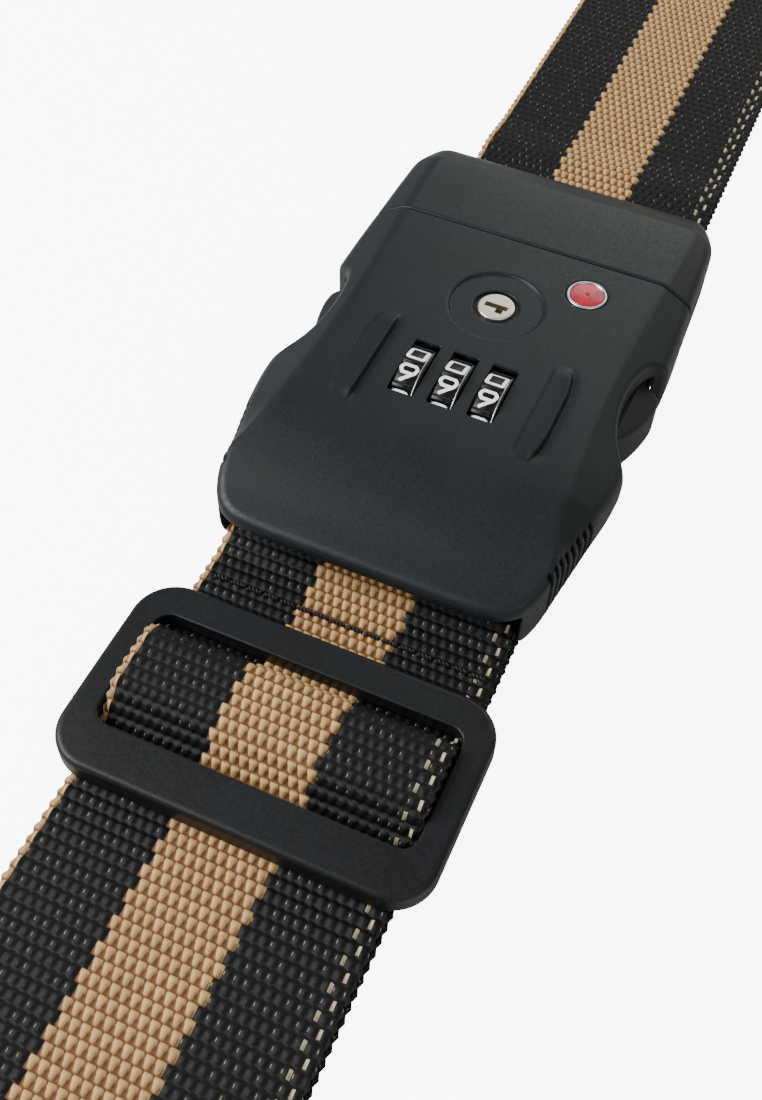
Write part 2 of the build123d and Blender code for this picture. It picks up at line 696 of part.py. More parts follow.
# ---------------------------------------------------------------- key lock
with BuildPart() as key_housing:
    with BuildSketch(Plane.XY.offset(HOUSING_Z)):
        with Locations((0, KEY_Y)):
            Circle(HOUSING_RADIUS)
    extrude(amount=TOP_Z - ROOF_THICK - FIT - HOUSING_Z)
    with BuildSketch(Plane.XY.offset(TOP_Z - ROOF_THICK - FIT)):
        with Locations((0, KEY_Y)):
            Circle(KEY_SLEEVE_RADIUS)
    extrude(amount=KEY_TOP_Z - 0.5 - (TOP_Z - ROOF_THICK - FIT))
    with BuildSketch(Plane.XY.offset(HOUSING_Z)):
        with Locations((0, KEY_Y)):
            Circle(KEY_RADIUS + RUN_CLEAR)
    extrude(amount=TOP_Z, mode=Mode.SUBTRACT)
key_housing.part.label = "key_housing"
export_step(key_housing.part, "parts/key_housing.step")

with BuildPart() as key_rotor:
    with BuildSketch(Plane.XY.offset(KEY_BASE_Z)):
        with Locations((0, KEY_Y)):
            Circle(KEY_RADIUS)
    extrude(amount=KEY_TOP_Z - KEY_BASE_Z)
    # keyway: a broad slot with a narrower step at one end
    with BuildSketch(Plane.XY.offset(KEY_TOP_Z - KEYWAY_DEPTH)):
        with Locations((0, KEY_Y)):
            Rectangle(*KEYWAY)
        with Locations((KEYWAY_OFFSET, KEY_Y - KEYWAY_STEP[1] / 2)):
            Rectangle(*KEYWAY_STEP)
    extrude(amount=KEYWAY_DEPTH, mode=Mode.SUBTRACT)
    fillet(key_rotor.edges().filter_by(GeomType.CIRCLE).group_by(Axis.Z)[-1], 0.3)
key_rotor.part.label = "key_rotor"
export_step(key_rotor.part, "parts/key_rotor.step")

with BuildPart() as key_cam:
    with BuildSketch(Plane.XY.offset(KEY_BASE_Z - CAM_THICK)):
        with Locations((0, KEY_Y)):
            Circle(CAM_RADIUS)
    extrude(amount=CAM_THICK)
    with BuildSketch(Plane.XY.offset(PLATE_Z - 0.05)):
        with Locations((PIN_OFFSET, KEY_Y)):
            Circle(PIN_RADIUS)
    extrude(amount=KEY_BASE_Z - CAM_THICK - PLATE_Z + 0.05)
key_cam.part.label = "key_cam"
export_step(key_cam.part, "parts/key_cam.step")

# Locking plate: slides along Y when the cam pin turns, with a tab beside each arm's tip
PLATE_Y0 = 45.0
PLATE_Y1 = 59.5
PLATE_HALF = 18.0
with BuildPart() as locking_plate:
    with BuildSketch(Plane.XY.offset(PLATE_Z)):
        with Locations((0, (PLATE_Y0 + PLATE_Y1) / 2)):
            RectangleRounded(2 * PLATE_HALF, PLATE_Y1 - PLATE_Y0, 1.0)
        with Locations((1.3, KEY_Y + 0.5)):
            Rectangle(5.2, 3.2, mode=Mode.SUBTRACT)
    extrude(amount=PLATE_THICK)
    with BuildSketch(Plane.XY.offset(PLATE_Z)):
        with Locations((PLATE_HALF - 0.5, PLATE_Y0 + 3.5), (-PLATE_HALF + 0.5, PLATE_Y0 + 3.5)):
            Rectangle(1.0, 5.0)
    extrude(amount=ARM_Z1 - 2 - PLATE_Z)
locking_plate.part.label = "locking_plate"
export_step(locking_plate.part, "parts/locking_plate.step")

# ---------------------------------------------------------------- reset button and enamel dot
with BuildPart() as reset_button:
    with BuildSketch(Plane.XY.offset(BASE_Z + 0.3)):
        with Locations((0, RESET_Y)):
            Circle(RESET_RADIUS)
    extrude(amount=COVER_THICK + 2.5)
    with BuildSketch(Plane.XY.offset(COVER_TOP_Z + 0.1)):
        with Locations((0, RESET_Y)):
            Circle(RESET_RADIUS + 1.0)
    extrude(amount=0.9)
reset_button.part.label = "reset_button"
export_step(reset_button.part, "parts/reset_button.step")

with BuildPart() as enamel_dot:
    with BuildSketch(Plane.XY.offset(TOP_Z - BADGE_SEAT)):
        with Locations((BADGE_X, BADGE_Y)):
            Circle(BADGE_RADIUS)
    extrude(amount=BADGE_SEAT + 0.15)
    chamfer(enamel_dot.edges().group_by(Axis.Z)[-1], 0.2)
enamel_dot.part.label = "enamel_dot"
export_step(enamel_dot.part, "parts/enamel_dot.step")

# ---------------------------------------------------------------- plug
with BuildPart() as plug_head:
    add(plug_form)
    # throat for the webbing, with a lower mouth at the rear
    with BuildSketch(Plane.XY.offset(BASE_Z)):
        with Locations((0, (PLUG_THROAT_Y0 + REAR_Y + 1) / 2)):
            Rectangle(2 * THROAT_HALF, REAR_Y + 1 - PLUG_THROAT_Y0)
    extrude(amount=REAR_MOUTH_Z - BASE_Z, mode=Mode.SUBTRACT)
    with BuildSketch(Plane.XY.offset(REAR_MOUTH_Z)):
        with Locations((0, (PLUG_THROAT_Y0 + REAR_Y - 2.5) / 2)):
            Rectangle(2 * THROAT_HALF, REAR_Y - 2.5 - PLUG_THROAT_Y0)
    extrude(amount=THROAT_TOP_Z - REAR_MOUTH_Z, mode=Mode.SUBTRACT)
    # pockets for the roots of the arms
    with BuildSketch(Plane.XY.offset(ARM_Z0 - 0.4)):
        with Locations((0, (SEAM_Y + ROOT_POCKET_Y1) / 2)):
            with GridLocations(2 * ARM_PIVOT_X, 1, 2, 1):
                Rectangle(ROOT_POCKET_WIDTH, ROOT_POCKET_Y1 - SEAM_Y)
    extrude(amount=ARM_Z1 - ARM_Z0 + 0.8, mode=Mode.SUBTRACT)
    # strap bar holes
    with BuildSketch(Plane.YZ):
        with Locations((PLUG_BAR_Y, BAR_Z)):
            Circle(BAR_RADIUS)
    extrude(amount=BAR_LENGTH / 2, both=True, mode=Mode.SUBTRACT)
    # tongue that guides the plug in the socket
    with BuildSketch(Plane.XY.offset(TONGUE_Z0)):
        with Locations((0, (TONGUE_Y0 + SEAM_Y + 1) / 2)):
            Rectangle(2 * TONGUE_HALF, SEAM_Y + 1 - TONGUE_Y0)
    extrude(amount=TONGUE_THICK)
    # grip grooves in the side walls
    with BuildSketch(Plane.XY.offset(BASE_Z)):
        for index in range(PLUG_RIB_COUNT):
            rib_y = PLUG_RIB_Y + index * PLUG_RIB_PITCH
            with Locations((side_x(rib_y), rib_y), (-side_x(rib_y), rib_y)):
                Circle(PLUG_RIB_RADIUS)
    extrude(amount=TOP_Z - BASE_Z, mode=Mode.SUBTRACT)
plug_head.part.label = "plug_head"
export_step(plug_head.part, "parts/plug_head.step")

with BuildPart() as release_arm_right:
    with BuildSketch(Plane.XY.offset(ARM_Z0)):
        with BuildLine():
            Spline((26.0, 33.6), (28.7, 38.5), (31.0, 44.5), (31.8, 50.0), (31.5, 51.6))
            Polyline((31.5, 51.6), (30.6, 52.2), (28.5, 52.6), (28.4, 60.0), (28.4, ARM_PIVOT_Y))
            CenterArc((ARM_PIVOT_X, ARM_PIVOT_Y), ARM_ROOT_RADIUS, 0, 180)
            Polyline((25.2, ARM_PIVOT_Y), (25.2, 60.0), (24.2, 38.0), (24.4, 33.8), (26.0, 33.6))
        make_face()
    extrude(amount=ARM_Z1 - ARM_Z0)
release_arm_right.part.label = "release_arm_right"
export_step(release_arm_right.part, "parts/release_arm_right.step")

with BuildPart() as release_arm_left:
    add(mirror(release_arm_right.part, about=Plane.YZ, mode=Mode.PRIVATE))
release_arm_left.part.label = "release_arm_left"
export_step(release_arm_left.part, "parts/release_arm_left.step")

# ---------------------------------------------------------------- slider
with BuildPart() as slider_frame:
    with BuildSketch(Plane.XY.offset(SLIDER_Z0)):
        with Locations((0, SLIDER_Y)):
            RectangleRounded(SLIDER_LENGTH, SLIDER_WIDTH, SLIDER_CORNER)
    extrude(amount=SLIDER_THICK)
    fillet(slider_frame.edges().group_by(Axis.Z)[-1], 1.6)
    with BuildSketch(Plane.XY.offset(SLIDER_Z0)):
        with Locations((0, SLIDER_WINDOW_Y)):
            RectangleRounded(SLIDER_WINDOW_LENGTH, SLIDER_WINDOW_WIDTH, 2.5)
    extrude(amount=SLIDER_THICK, mode=Mode.SUBTRACT)
    with BuildSketch(Plane.XY.offset(SLIDER_Z0)):
        with Locations((0, (POCKET_Y0 + POCKET_Y1) / 2)):
            Rectangle(SLIDER_WINDOW_LENGTH, POCKET_Y1 - POCKET_Y0)
    extrude(amount=POCKET_Z - SLIDER_Z0, mode=Mode.SUBTRACT)
    with BuildSketch(Plane.YZ):
        with Locations((SLIDER_WINDOW_Y, CENTRE_BAR_Z)):
            RectangleRounded(CENTRE_BAR_WIDTH, CENTRE_BAR_THICK, CENTRE_BAR_THICK / 2 - 0.01)
    extrude(amount=SLIDER_WINDOW_LENGTH / 2 + 1, both=True)
slider_frame.part.label = "slider_frame"
export_step(slider_frame.part, "parts/slider_frame.step")

webbing_socket_run.part.label = "webbing_socket_run"
export_step(webbing_socket_run.part, "parts/webbing_socket_run.step")
webbing_inner_run.part.label = "webbing_inner_run"
export_step(webbing_inner_run.part, "parts/webbing_inner_run.step")
webbing_plug_run.part.label = "webbing_plug_run"
export_step(webbing_plug_run.part, "parts/webbing_plug_run.step")
webbing_slider_turn.part.label = "webbing_slider_turn"
export_step(webbing_slider_turn.part, "parts/webbing_slider_turn.step")
webbing_fixed_end.part.label = "webbing_fixed_end"
export_step(webbing_fixed_end.part, "parts/webbing_fixed_end.step")
stitch_row.part.label = "stitch_row"
export_step(stitch_row.part, "parts/stitch_row.step")
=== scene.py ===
import math

import bpy
import numpy as np
from mathutils import Matrix, Vector


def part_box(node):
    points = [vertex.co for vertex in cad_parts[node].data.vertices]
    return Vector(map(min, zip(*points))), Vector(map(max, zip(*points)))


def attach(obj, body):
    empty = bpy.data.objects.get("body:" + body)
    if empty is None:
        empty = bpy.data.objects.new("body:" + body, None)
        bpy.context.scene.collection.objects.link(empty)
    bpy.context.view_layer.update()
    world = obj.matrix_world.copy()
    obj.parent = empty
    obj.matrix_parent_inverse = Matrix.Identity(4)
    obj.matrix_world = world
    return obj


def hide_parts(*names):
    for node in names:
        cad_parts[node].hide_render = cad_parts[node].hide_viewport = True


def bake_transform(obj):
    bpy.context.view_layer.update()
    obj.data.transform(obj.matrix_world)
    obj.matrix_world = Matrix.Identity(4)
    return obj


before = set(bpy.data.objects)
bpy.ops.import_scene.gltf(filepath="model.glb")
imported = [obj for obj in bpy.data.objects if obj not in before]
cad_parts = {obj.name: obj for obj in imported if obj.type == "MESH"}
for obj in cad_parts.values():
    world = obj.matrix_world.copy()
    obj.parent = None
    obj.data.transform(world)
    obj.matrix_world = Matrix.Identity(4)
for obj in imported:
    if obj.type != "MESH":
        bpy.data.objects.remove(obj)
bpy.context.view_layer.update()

# Looks for the luggage strap. Lengths are millimetres in the script and metres in Blender.
# X runs across the strap, Y along it from the slider to the plug, Z up.
MM = 0.001


def cad_box(node):
    """Lowest and highest corner of a CAD node, in millimetres."""
    low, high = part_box(node)
    return np.array(low) / MM, np.array(high) / MM


# ---- sizes read from the frame
SOCKET_LOW, SOCKET_HIGH = cad_box("socket_top_shell")
PLUG_LOW, PLUG_HIGH = cad_box("plug_head")
RUN_LOW, RUN_HIGH = cad_box("webbing_socket_run")
PLUG_RUN_HIGH = cad_box("webbing_plug_run")[1]
FRAME_LOW, FRAME_HIGH = cad_box("slider_frame")
DIAL_LOW, DIAL_HIGH = cad_box("dial_middle")
KEY_LOW, KEY_HIGH = cad_box("key_rotor")
DOT_LOW, DOT_HIGH = cad_box("enamel_dot")
ARM_LOW, ARM_HIGH = cad_box("release_arm_right")
BAR_LOW, BAR_HIGH = cad_box("socket_strap_bar")
PLUG_BAR_LOW, PLUG_BAR_HIGH = cad_box("plug_strap_bar")

BASE_Z = SOCKET_LOW[2]
TOP_Z = PLUG_HIGH[2]
LIP_Y = SOCKET_LOW[1]
SOCKET_END_Y = SOCKET_HIGH[1]
SEAM_Y = SOCKET_END_Y + 0.2
REAR_Y = PLUG_HIGH[1]

WEB_WIDTH = 50.0
WEB_THICK = 1.4
LAYER_STEP = 1.5
LAYER_Z = [WEB_THICK / 2 + LAYER_STEP * i for i in range(4)]
TURN_RADIUS = RUN_HIGH[2] / 2
FLARE_RADIUS = 30.0
SLIDER_END_Y = RUN_LOW[1] + TURN_RADIUS
PLUG_END_Y = PLUG_RUN_HIGH[1] - TURN_RADIUS

# ---- node helpers
class Shader:
    """A material's node tree, with short calls for the nodes used here."""

    def __init__(self, name):
        self.material = bpy.data.materials.new(name)
        self.material.use_nodes = True
        self.tree = self.material.node_tree
        self.tree.nodes.clear()
        self.output = self.node("ShaderNodeOutputMaterial")
        self.principled = self.node("ShaderNodeBsdfPrincipled")
        self.link(self.principled.outputs[0], self.output.inputs["Surface"])

    def node(self, kind, **settings):
        made = self.tree.nodes.new(kind)
        for key, value in settings.items():
            setattr(made, key, value)
        return made

    def link(self, source, target):
        self.tree.links.new(source, target)

    def put(self, value, target):
        """Sets an input from a number, a colour or another node's output."""
        if isinstance(value, bpy.types.NodeSocket):
            self.link(value, target)
        else:
            target.default_value = value

    def set(self, **values):
        for key, value in values.items():
            self.put(value, self.principled.inputs[key.replace("_", " ")])

    def math(self, operation, first, second=0.0, third=0.0):
        made = self.node("ShaderNodeMath", operation=operation)
        for index, value in enumerate((first, second, third)):
            self.put(value, made.inputs[index])
        return made.outputs[0]

    def coordinates(self, scale=(1.0, 1.0, 1.0)):
        """Object coordinates in millimetres, stretched by scale."""
        place = self.node("ShaderNodeTexCoord")
        mapping = self.node("ShaderNodeMapping")
        self.link(place.outputs["Object"], mapping.inputs["Vector"])
        mapping.inputs["Scale"].default_value = [s / MM for s in scale]
        return mapping.outputs[0]

    def noise(self, size, detail=3.0, roughness=0.5, vector=None):
        """Noise whose grains are about size millimetres wide, from 0 to 1."""
        made = self.node("ShaderNodeTexNoise")
        self.link(vector if vector is not None else self.coordinates(), made.inputs["Vector"])
        made.inputs["Scale"].default_value = 1.0 / size
        made.inputs["Detail"].default_value = detail
        made.inputs["Roughness"].default_value = roughness
        return made.outputs["Fac"]

    def remap(self, value, low, high, new_low, new_high):
        """A value taken from one range to another and held there."""
        made = self.node("ShaderNodeMapRange")
        for socket, number in zip(range(5), (value, low, high, new_low, new_high)):
            self.put(number, made.inputs[socket])
        return made.outputs[0]

    def spread(self, noise, new_low, new_high):
        """Noise stretched over a new range; it mostly stays between 0.3 and 0.7."""
        return self.remap(noise, 0.3, 0.7, new_low, new_high)

    def mix(self, factor, first, second, blend="MIX"):
        made = self.node("ShaderNodeMix", data_type="RGBA", blend_type=blend)
        self.put(factor, made.inputs[0])
        self.put(first, made.inputs[6])
        self.put(second, made.inputs[7])
        return made.outputs[2]

    def bump(self, height, distance, strength):
        """Bumps up to distance millimetres high."""
        made = self.node("ShaderNodeBump")
        made.inputs["Strength"].default_value = strength
        made.inputs["Distance"].default_value = distance * MM
        self.link(height, made.inputs["Height"])
        self.link(made.outputs[0], self.principled.inputs["Normal"])


def rgb(red, green, blue):
    """A screen colour of 0 to 255 as the linear colour Blender uses."""
    linear = []
    for value in (red, green, blue):
        share = value / 255
        linear.append(share / 12.92 if share <= 0.04045 else ((share + 0.055) / 1.055) ** 2.4)
    return (*linear, 1.0)


# ---- materials
def moulded_plastic(name, colour, light, roughness=0.42, grain=0.02, shine=0.3):
    """Moulded plastic with a fine spark-eroded grain and slight tone changes."""
    shader = Shader(name)
    cloud = shader.spread(shader.noise(14.0, 3.0), 0.0, 0.5)
    speck = shader.remap(shader.noise(0.34, 2.0, 0.7), 0.45, 0.75, 0.0, 1.0)
    tone = shader.mix(cloud, colour, light)
    shader.set(Base_Color=shader.mix(speck, tone, light))
    patch = shader.spread(shader.noise(0.5, 3.0), roughness - 0.06, roughness + 0.08)
    shader.set(Roughness=patch, Specular_IOR_Level=shine)
    shader.bump(shader.noise(0.3, 3.0, 0.65), grain, 0.9)
    return shader.material


def brushed_metal(name, colour, roughness, stretch=(1.0, 30.0, 1.0), size=0.6):
    """Metal with fine lines left by brushing or turning."""
    shader = Shader(name)
    lines = shader.noise(size, 4.0, 0.6, shader.coordinates(stretch))
    stain = shader.remap(shader.noise(2.2, 3.0), 0.35, 0.75, 0.0, 0.5)
    darker = tuple(c * 0.62 for c in colour[:3]) + (1.0,)
    shader.set(Base_Color=shader.mix(stain, colour, darker), Metallic=1.0)
    shader.set(Roughness=shader.spread(lines, roughness - 0.08, roughness + 0.12))
    shader.bump(lines, 0.008, 0.6)
    return shader.material


RING_PERIOD = 0.35


def spun_metal(name, colour, roughness, centre):
    """Metal with turning rings round an upright axis."""
    shader = Shader(name)
    place = shader.node("ShaderNodeTexCoord")
    split = shader.node("ShaderNodeSeparateXYZ")
    shader.link(place.outputs["Object"], split.inputs[0])
    across = shader.math("SUBTRACT", split.outputs[0], centre[0] * MM)
    along = shader.math("SUBTRACT", split.outputs[1], centre[1] * MM)
    across_square = shader.math("MULTIPLY", across, across)
    along_square = shader.math("MULTIPLY", along, along)
    radius = shader.math("SQRT", shader.math("ADD", across_square, along_square))
    ring = shader.math("SINE", shader.math("MULTIPLY", radius, 2 * math.pi / (RING_PERIOD * MM)))
    stain = shader.remap(shader.noise(1.3, 4.0), 0.4, 0.8, 0.0, 0.35)
    warm = tuple(c * f for c, f in zip(colour[:3], (0.8, 0.72, 0.6))) + (1.0,)
    shader.set(Base_Color=shader.mix(stain, colour, warm), Metallic=1.0)
    shader.set(Roughness=shader.spread(shader.noise(0.5), roughness - 0.06, roughness + 0.1))
    shader.bump(ring, 0.002, 0.25)
    return shader.material


def enamel(name, colour, deep):
    """Glossy enamel with slight pooling."""
    shader = Shader(name)
    pool = shader.spread(shader.noise(1.6, 2.0), 0.0, 1.0)
    shader.set(Base_Color=shader.mix(pool, colour, deep), Coat_Weight=0.3, Coat_Roughness=0.08)
    shader.set(Roughness=shader.spread(shader.noise(0.8), 0.18, 0.30))
    shader.bump(shader.noise(0.9, 1.0), 0.02, 0.4)
    return shader.material


def printed_ink(name, colour, glow=0.0):
    """Pad-printed paint with slightly uneven cover; glow is painted light, a slight emission that makes it
    look brighter than it is.
    """
    shader = Shader(name)
    thin = shader.spread(shader.noise(0.35, 3.0), 0.0, 0.35)
    darker = tuple(c * 0.72 for c in colour[:3]) + (1.0,)
    cover = shader.mix(thin, colour, darker)
    shader.set(Base_Color=cover, Emission_Color=cover, Emission_Strength=glow)
    shader.set(Roughness=shader.spread(shader.noise(0.4), 0.4, 0.6))
    shader.bump(shader.noise(0.15, 2.0), 0.01, 0.5)
    return shader.material


YARN_BLACK = rgb(10, 10, 12)
YARN_TAN = rgb(212, 172, 116)
YARN_CREAM = rgb(196, 190, 154)
# multiplied into the yarn as painted shade in the low gaps of the weave
GAP_PAINTED_SHADE = (0.24, 0.16, 0.10, 1.0)
FLECK_CHANCE = 0.45
FLECK_SHOW = 0.6
ROW = 2.0
BUMPS_ACROSS = 32
PITCH = WEB_WIDTH / BUMPS_ACROSS


def webbing_material():
    """Woven yarn: base colour by bump, with filaments, random tones, pale flecks and painted shade in the
    gaps between the bumps.
    """
    shader = Shader("webbing")
    colour = shader.node("ShaderNodeAttribute", attribute_name="yarn")
    weave = shader.node("ShaderNodeUVMap", uv_map="weave")
    split = shader.node("ShaderNodeSeparateXYZ")
    shader.link(weave.outputs[0], split.inputs[0])
    across, along = split.outputs[0], split.outputs[1]
    row = shader.math("FLOOR", along)
    odd = shader.math("MULTIPLY", shader.math("MODULO", shader.math("ABSOLUTE", row), 2.0), 0.5)
    shifted = shader.math("SUBTRACT", across, odd)
    column = shader.math("FLOOR", shifted)
    in_bump = shader.math("SUBTRACT", shifted, column)
    in_row = shader.math("SUBTRACT", along, row)
    cell = shader.node("ShaderNodeCombineXYZ")
    shader.link(column, cell.inputs[0])
    shader.link(row, cell.inputs[1])
    random = shader.node("ShaderNodeTexWhiteNoise", noise_dimensions="2D")
    shader.link(cell.outputs[0], random.inputs["Vector"])
    chance = random.outputs["Value"]
    # filaments run along the strap
    strand = shader.node("ShaderNodeCombineXYZ")
    shader.link(shader.math("MULTIPLY", across, 22.0), strand.inputs[0])
    shader.link(shader.math("MULTIPLY", along, 1.6), strand.inputs[1])
    fibre = shader.node("ShaderNodeTexNoise")
    fibre.inputs["Scale"].default_value = 1.0
    fibre.inputs["Detail"].default_value = 3.0
    shader.link(strand.outputs[0], fibre.inputs["Vector"])
    fibres = fibre.outputs["Fac"]
    from_fibres = shader.spread(fibres, 0.78, 1.12)
    from_bump = shader.remap(chance, 0, 1, -0.1, 0.1)
    shade = shader.math("ADD", from_fibres, from_bump)
    grey = shader.node("ShaderNodeCombineColor")
    for socket in range(3):
        shader.link(shade, grey.inputs[socket])
    tinted = shader.mix(1.0, colour.outputs["Color"], grey.outputs[0], "MULTIPLY")
    # painted shade: the colour darkens where the relief is low, in the gaps between the bumps
    relief = shader.node("ShaderNodeAttribute", attribute_name="relief")
    shaded = shader.mix(1.0, tinted, GAP_PAINTED_SHADE, "MULTIPLY")
    lit = shader.mix(shader.remap(relief.outputs["Fac"], 0.05, 0.55, 0.0, 1.0), shaded, tinted)
    # pale flecks beside the black bumps
    beside = shader.math("COMPARE", in_bump, 0.13, 0.03)
    centred = shader.math("COMPARE", in_row, 0.5, 0.12)
    in_place = shader.math("MULTIPLY", beside, centred)
    picked = shader.math("LESS_THAN", chance, FLECK_CHANCE)
    dark = shader.math("LESS_THAN", colour.outputs["Fac"], 0.05)
    fleck = shader.math("MULTIPLY", in_place, shader.math("MULTIPLY", picked, dark))
    shader.set(Base_Color=shader.mix(shader.math("MULTIPLY", fleck, FLECK_SHOW), lit, YARN_CREAM))
    shader.set(Roughness=shader.spread(fibres, 0.45, 0.7), Specular_IOR_Level=0.3)
    shader.bump(fibres, 0.06, 0.9)
    return shader.material


MATERIALS = {
    "shell": moulded_plastic("shell_plastic", rgb(21, 25, 27), rgb(31, 36, 38)),
    "slider": moulded_plastic("slider_plastic", rgb(15, 17, 20), rgb(27, 30, 33), 0.40, 0.018),
    "inner": moulded_plastic("inner_plastic", rgb(10, 10, 11), rgb(16, 16, 17), 0.5),
    "dial": moulded_plastic("dial_plastic", rgb(8, 8, 9), rgb(14, 15, 16), 0.35, 0.006),
    "steel": brushed_metal("steel", rgb(190, 192, 196), 0.3),
    "brass": brushed_metal("brass", rgb(206, 170, 100), 0.32),
    "nickel": spun_metal("nickel", rgb(240, 234, 214), 0.34, ((KEY_LOW + KEY_HIGH) / 2)[:2]),
    # light metal: the dot's rim is bright in its own right; on the dials' flanges it also stands in for a
    # painted highlight on the wheels' edges
    "rim": brushed_metal("rim_metal", rgb(226, 228, 230), 0.22, (3.0, 3.0, 3.0), 0.4),
    "red": enamel("red_enamel", rgb(200, 20, 48), rgb(150, 8, 34)),
    # the white numerals glow a little: painted light that makes them look brighter
    "ink": printed_ink("white_ink", rgb(248, 250, 250), 0.35),
    "thread": printed_ink("thread", rgb(24, 24, 26)),
    "webbing": webbing_material(),
}


# ---- mesh helpers
def new_piece(name, points, faces, body, material):
    """A smooth-shaded mesh piece from points in millimetres and faces with equal corner counts."""
    points = np.asarray(points, np.float32) * MM
    faces = np.asarray(faces, np.int32)
    corners = faces.shape[1]
    mesh = bpy.data.meshes.new(name)
    mesh.vertices.add(len(points))
    mesh.vertices.foreach_set("co", points.ravel())
    mesh.loops.add(faces.size)
    mesh.loops.foreach_set("vertex_index", faces.ravel())
    mesh.polygons.add(len(faces))
    mesh.polygons.foreach_set("loop_start", np.arange(len(faces), dtype=np.int32) * corners)
    mesh.update(calc_edges=True)
    mesh.shade_smooth()
    mesh.materials.append(MATERIALS[material])
    piece = bpy.data.objects.new(name, mesh)
    bpy.context.scene.collection.objects.link(piece)
    if body:
        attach(piece, body)
    return piece


def grid_faces(rows, columns, close_rows=False, close_columns=False):
    """Quads over a grid of points stored row by row."""
    row = np.arange(rows if close_rows else rows - 1)
    column = np.arange(columns if close_columns else columns - 1)
    row, column = (a.ravel() for a in np.meshgrid(row, column, indexing="ij"))
    next_row, next_column = (row + 1) % rows, (column + 1) % columns
    return np.stack(
        [row * columns + column, row * columns + next_column,
         next_row * columns + next_column, next_row * columns + column], 1)


def curve_through(points, step=0.5):
    """Smooth curve through points (Catmull-Rom), sampled at about step."""
    points = np.asarray(points, float)
    padded = np.vstack([2 * points[0] - points[1], points, 2 * points[-1] - points[-2]])
    sampled = []
    for before, start, end, after in zip(padded, padded[1:], padded[2:], padded[3:]):
        count = max(2, int(np.linalg.norm(end - start) / step))
        t = np.linspace(0, 1, count, endpoint=False)[:, None]
        sampled.append(0.5 * (2 * start + (end - before) * t
                              + (2 * before - 5 * start + 4 * end - after) * t**2
                              + (3 * start - before - 3 * end + after) * t**3))
    return np.vstack(sampled + [points[-1:]])


# ---- solids from distance functions
def smooth_max(first, second, radius):
    """The larger of two distances, with the edge between them rounded."""
    overlap = np.maximum(radius - np.abs(first - second), 0.0)
    return np.maximum(first, second) + overlap * overlap / (4 * radius)


def cut(solid, tool, radius):
    """Solid with a tool taken away, its new edge rounded."""
    return smooth_max(solid, -tool, radius)


def join(first, second, radius):
    """Two solids as one, with the corner between them filled."""
    return -smooth_max(-first, -second, radius)


def box_distance(x, y, z, low, high, corner):
    """Distance to a box between two corners; None leaves a side open."""
    far = 1e3
    low = [-far if v is None else v for v in low]
    high = [far if v is None else v for v in high]
    gaps = []
    for place, a, b in zip((x, y, z), low, high):
        gaps.append(np.abs(place - (a + b) / 2) - (b - a) / 2 + corner)
    outside = np.sqrt(sum(np.maximum(gap, 0.0) ** 2 for gap in gaps))
    inside = np.minimum(np.maximum(np.maximum(gaps[0], gaps[1]), gaps[2]), 0.0)
    return outside + inside - corner


def circle_distance(a, b, centre_a, centre_b, radius):
    """Distance to a round bar seen along its axis."""
    return np.sqrt((a - centre_a) ** 2 + (b - centre_b) ** 2) - radius


class Plan:
    """Distance to a closed outline in the XY plane, looked up in a fine table."""

    STEP = 0.2
    MARGIN = 4.0

    def __init__(self, outline):
        outline = np.asarray(outline, float)
        self.low = outline.min(0) - self.MARGIN
        size = outline.max(0) + self.MARGIN - self.low
        axes = [self.low[i] + np.arange(int(size[i] / self.STEP) + 2) * self.STEP for i in (0, 1)]
        x, y = np.meshgrid(*axes, indexing="ij")
        nearest = np.full(x.shape, 1e9)
        inside = np.zeros(x.shape, bool)
        for (x0, y0), (x1, y1) in zip(outline, np.roll(outline, -1, 0)):
            dx, dy = x1 - x0, y1 - y0
            along = np.clip(((x - x0) * dx + (y - y0) * dy) / (dx * dx + dy * dy + 1e-12), 0, 1)
            nearest = np.minimum(nearest, (x - x0 - along * dx) ** 2 + (y - y0 - along * dy) ** 2)
            crosses = (y0 > y) != (y1 > y)
            inside ^= crosses & (x < dx * (y - y0) / (dy + 1e-12 * (dy == 0)) + x0)
        self.table = np.where(inside, -1, 1) * np.sqrt(nearest)

    def __call__(self, x, y):
        """Bilinear lookup. x and y may be broadcast grids."""
        a = np.clip((x - self.low[0]) / self.STEP, 0, self.table.shape[0] - 1.001)
        b = np.clip((y - self.low[1]) / self.STEP, 0, self.table.shape[1] - 1.001)
        i, j = a.astype(int), b.astype(int)
        a, b = a - i, b - j
        table = self.table
        return ((table[i, j] * (1 - a) + table[i + 1, j] * a) * (1 - b)
                + (table[i, j + 1] * (1 - a) + table[i + 1, j + 1] * a) * b)


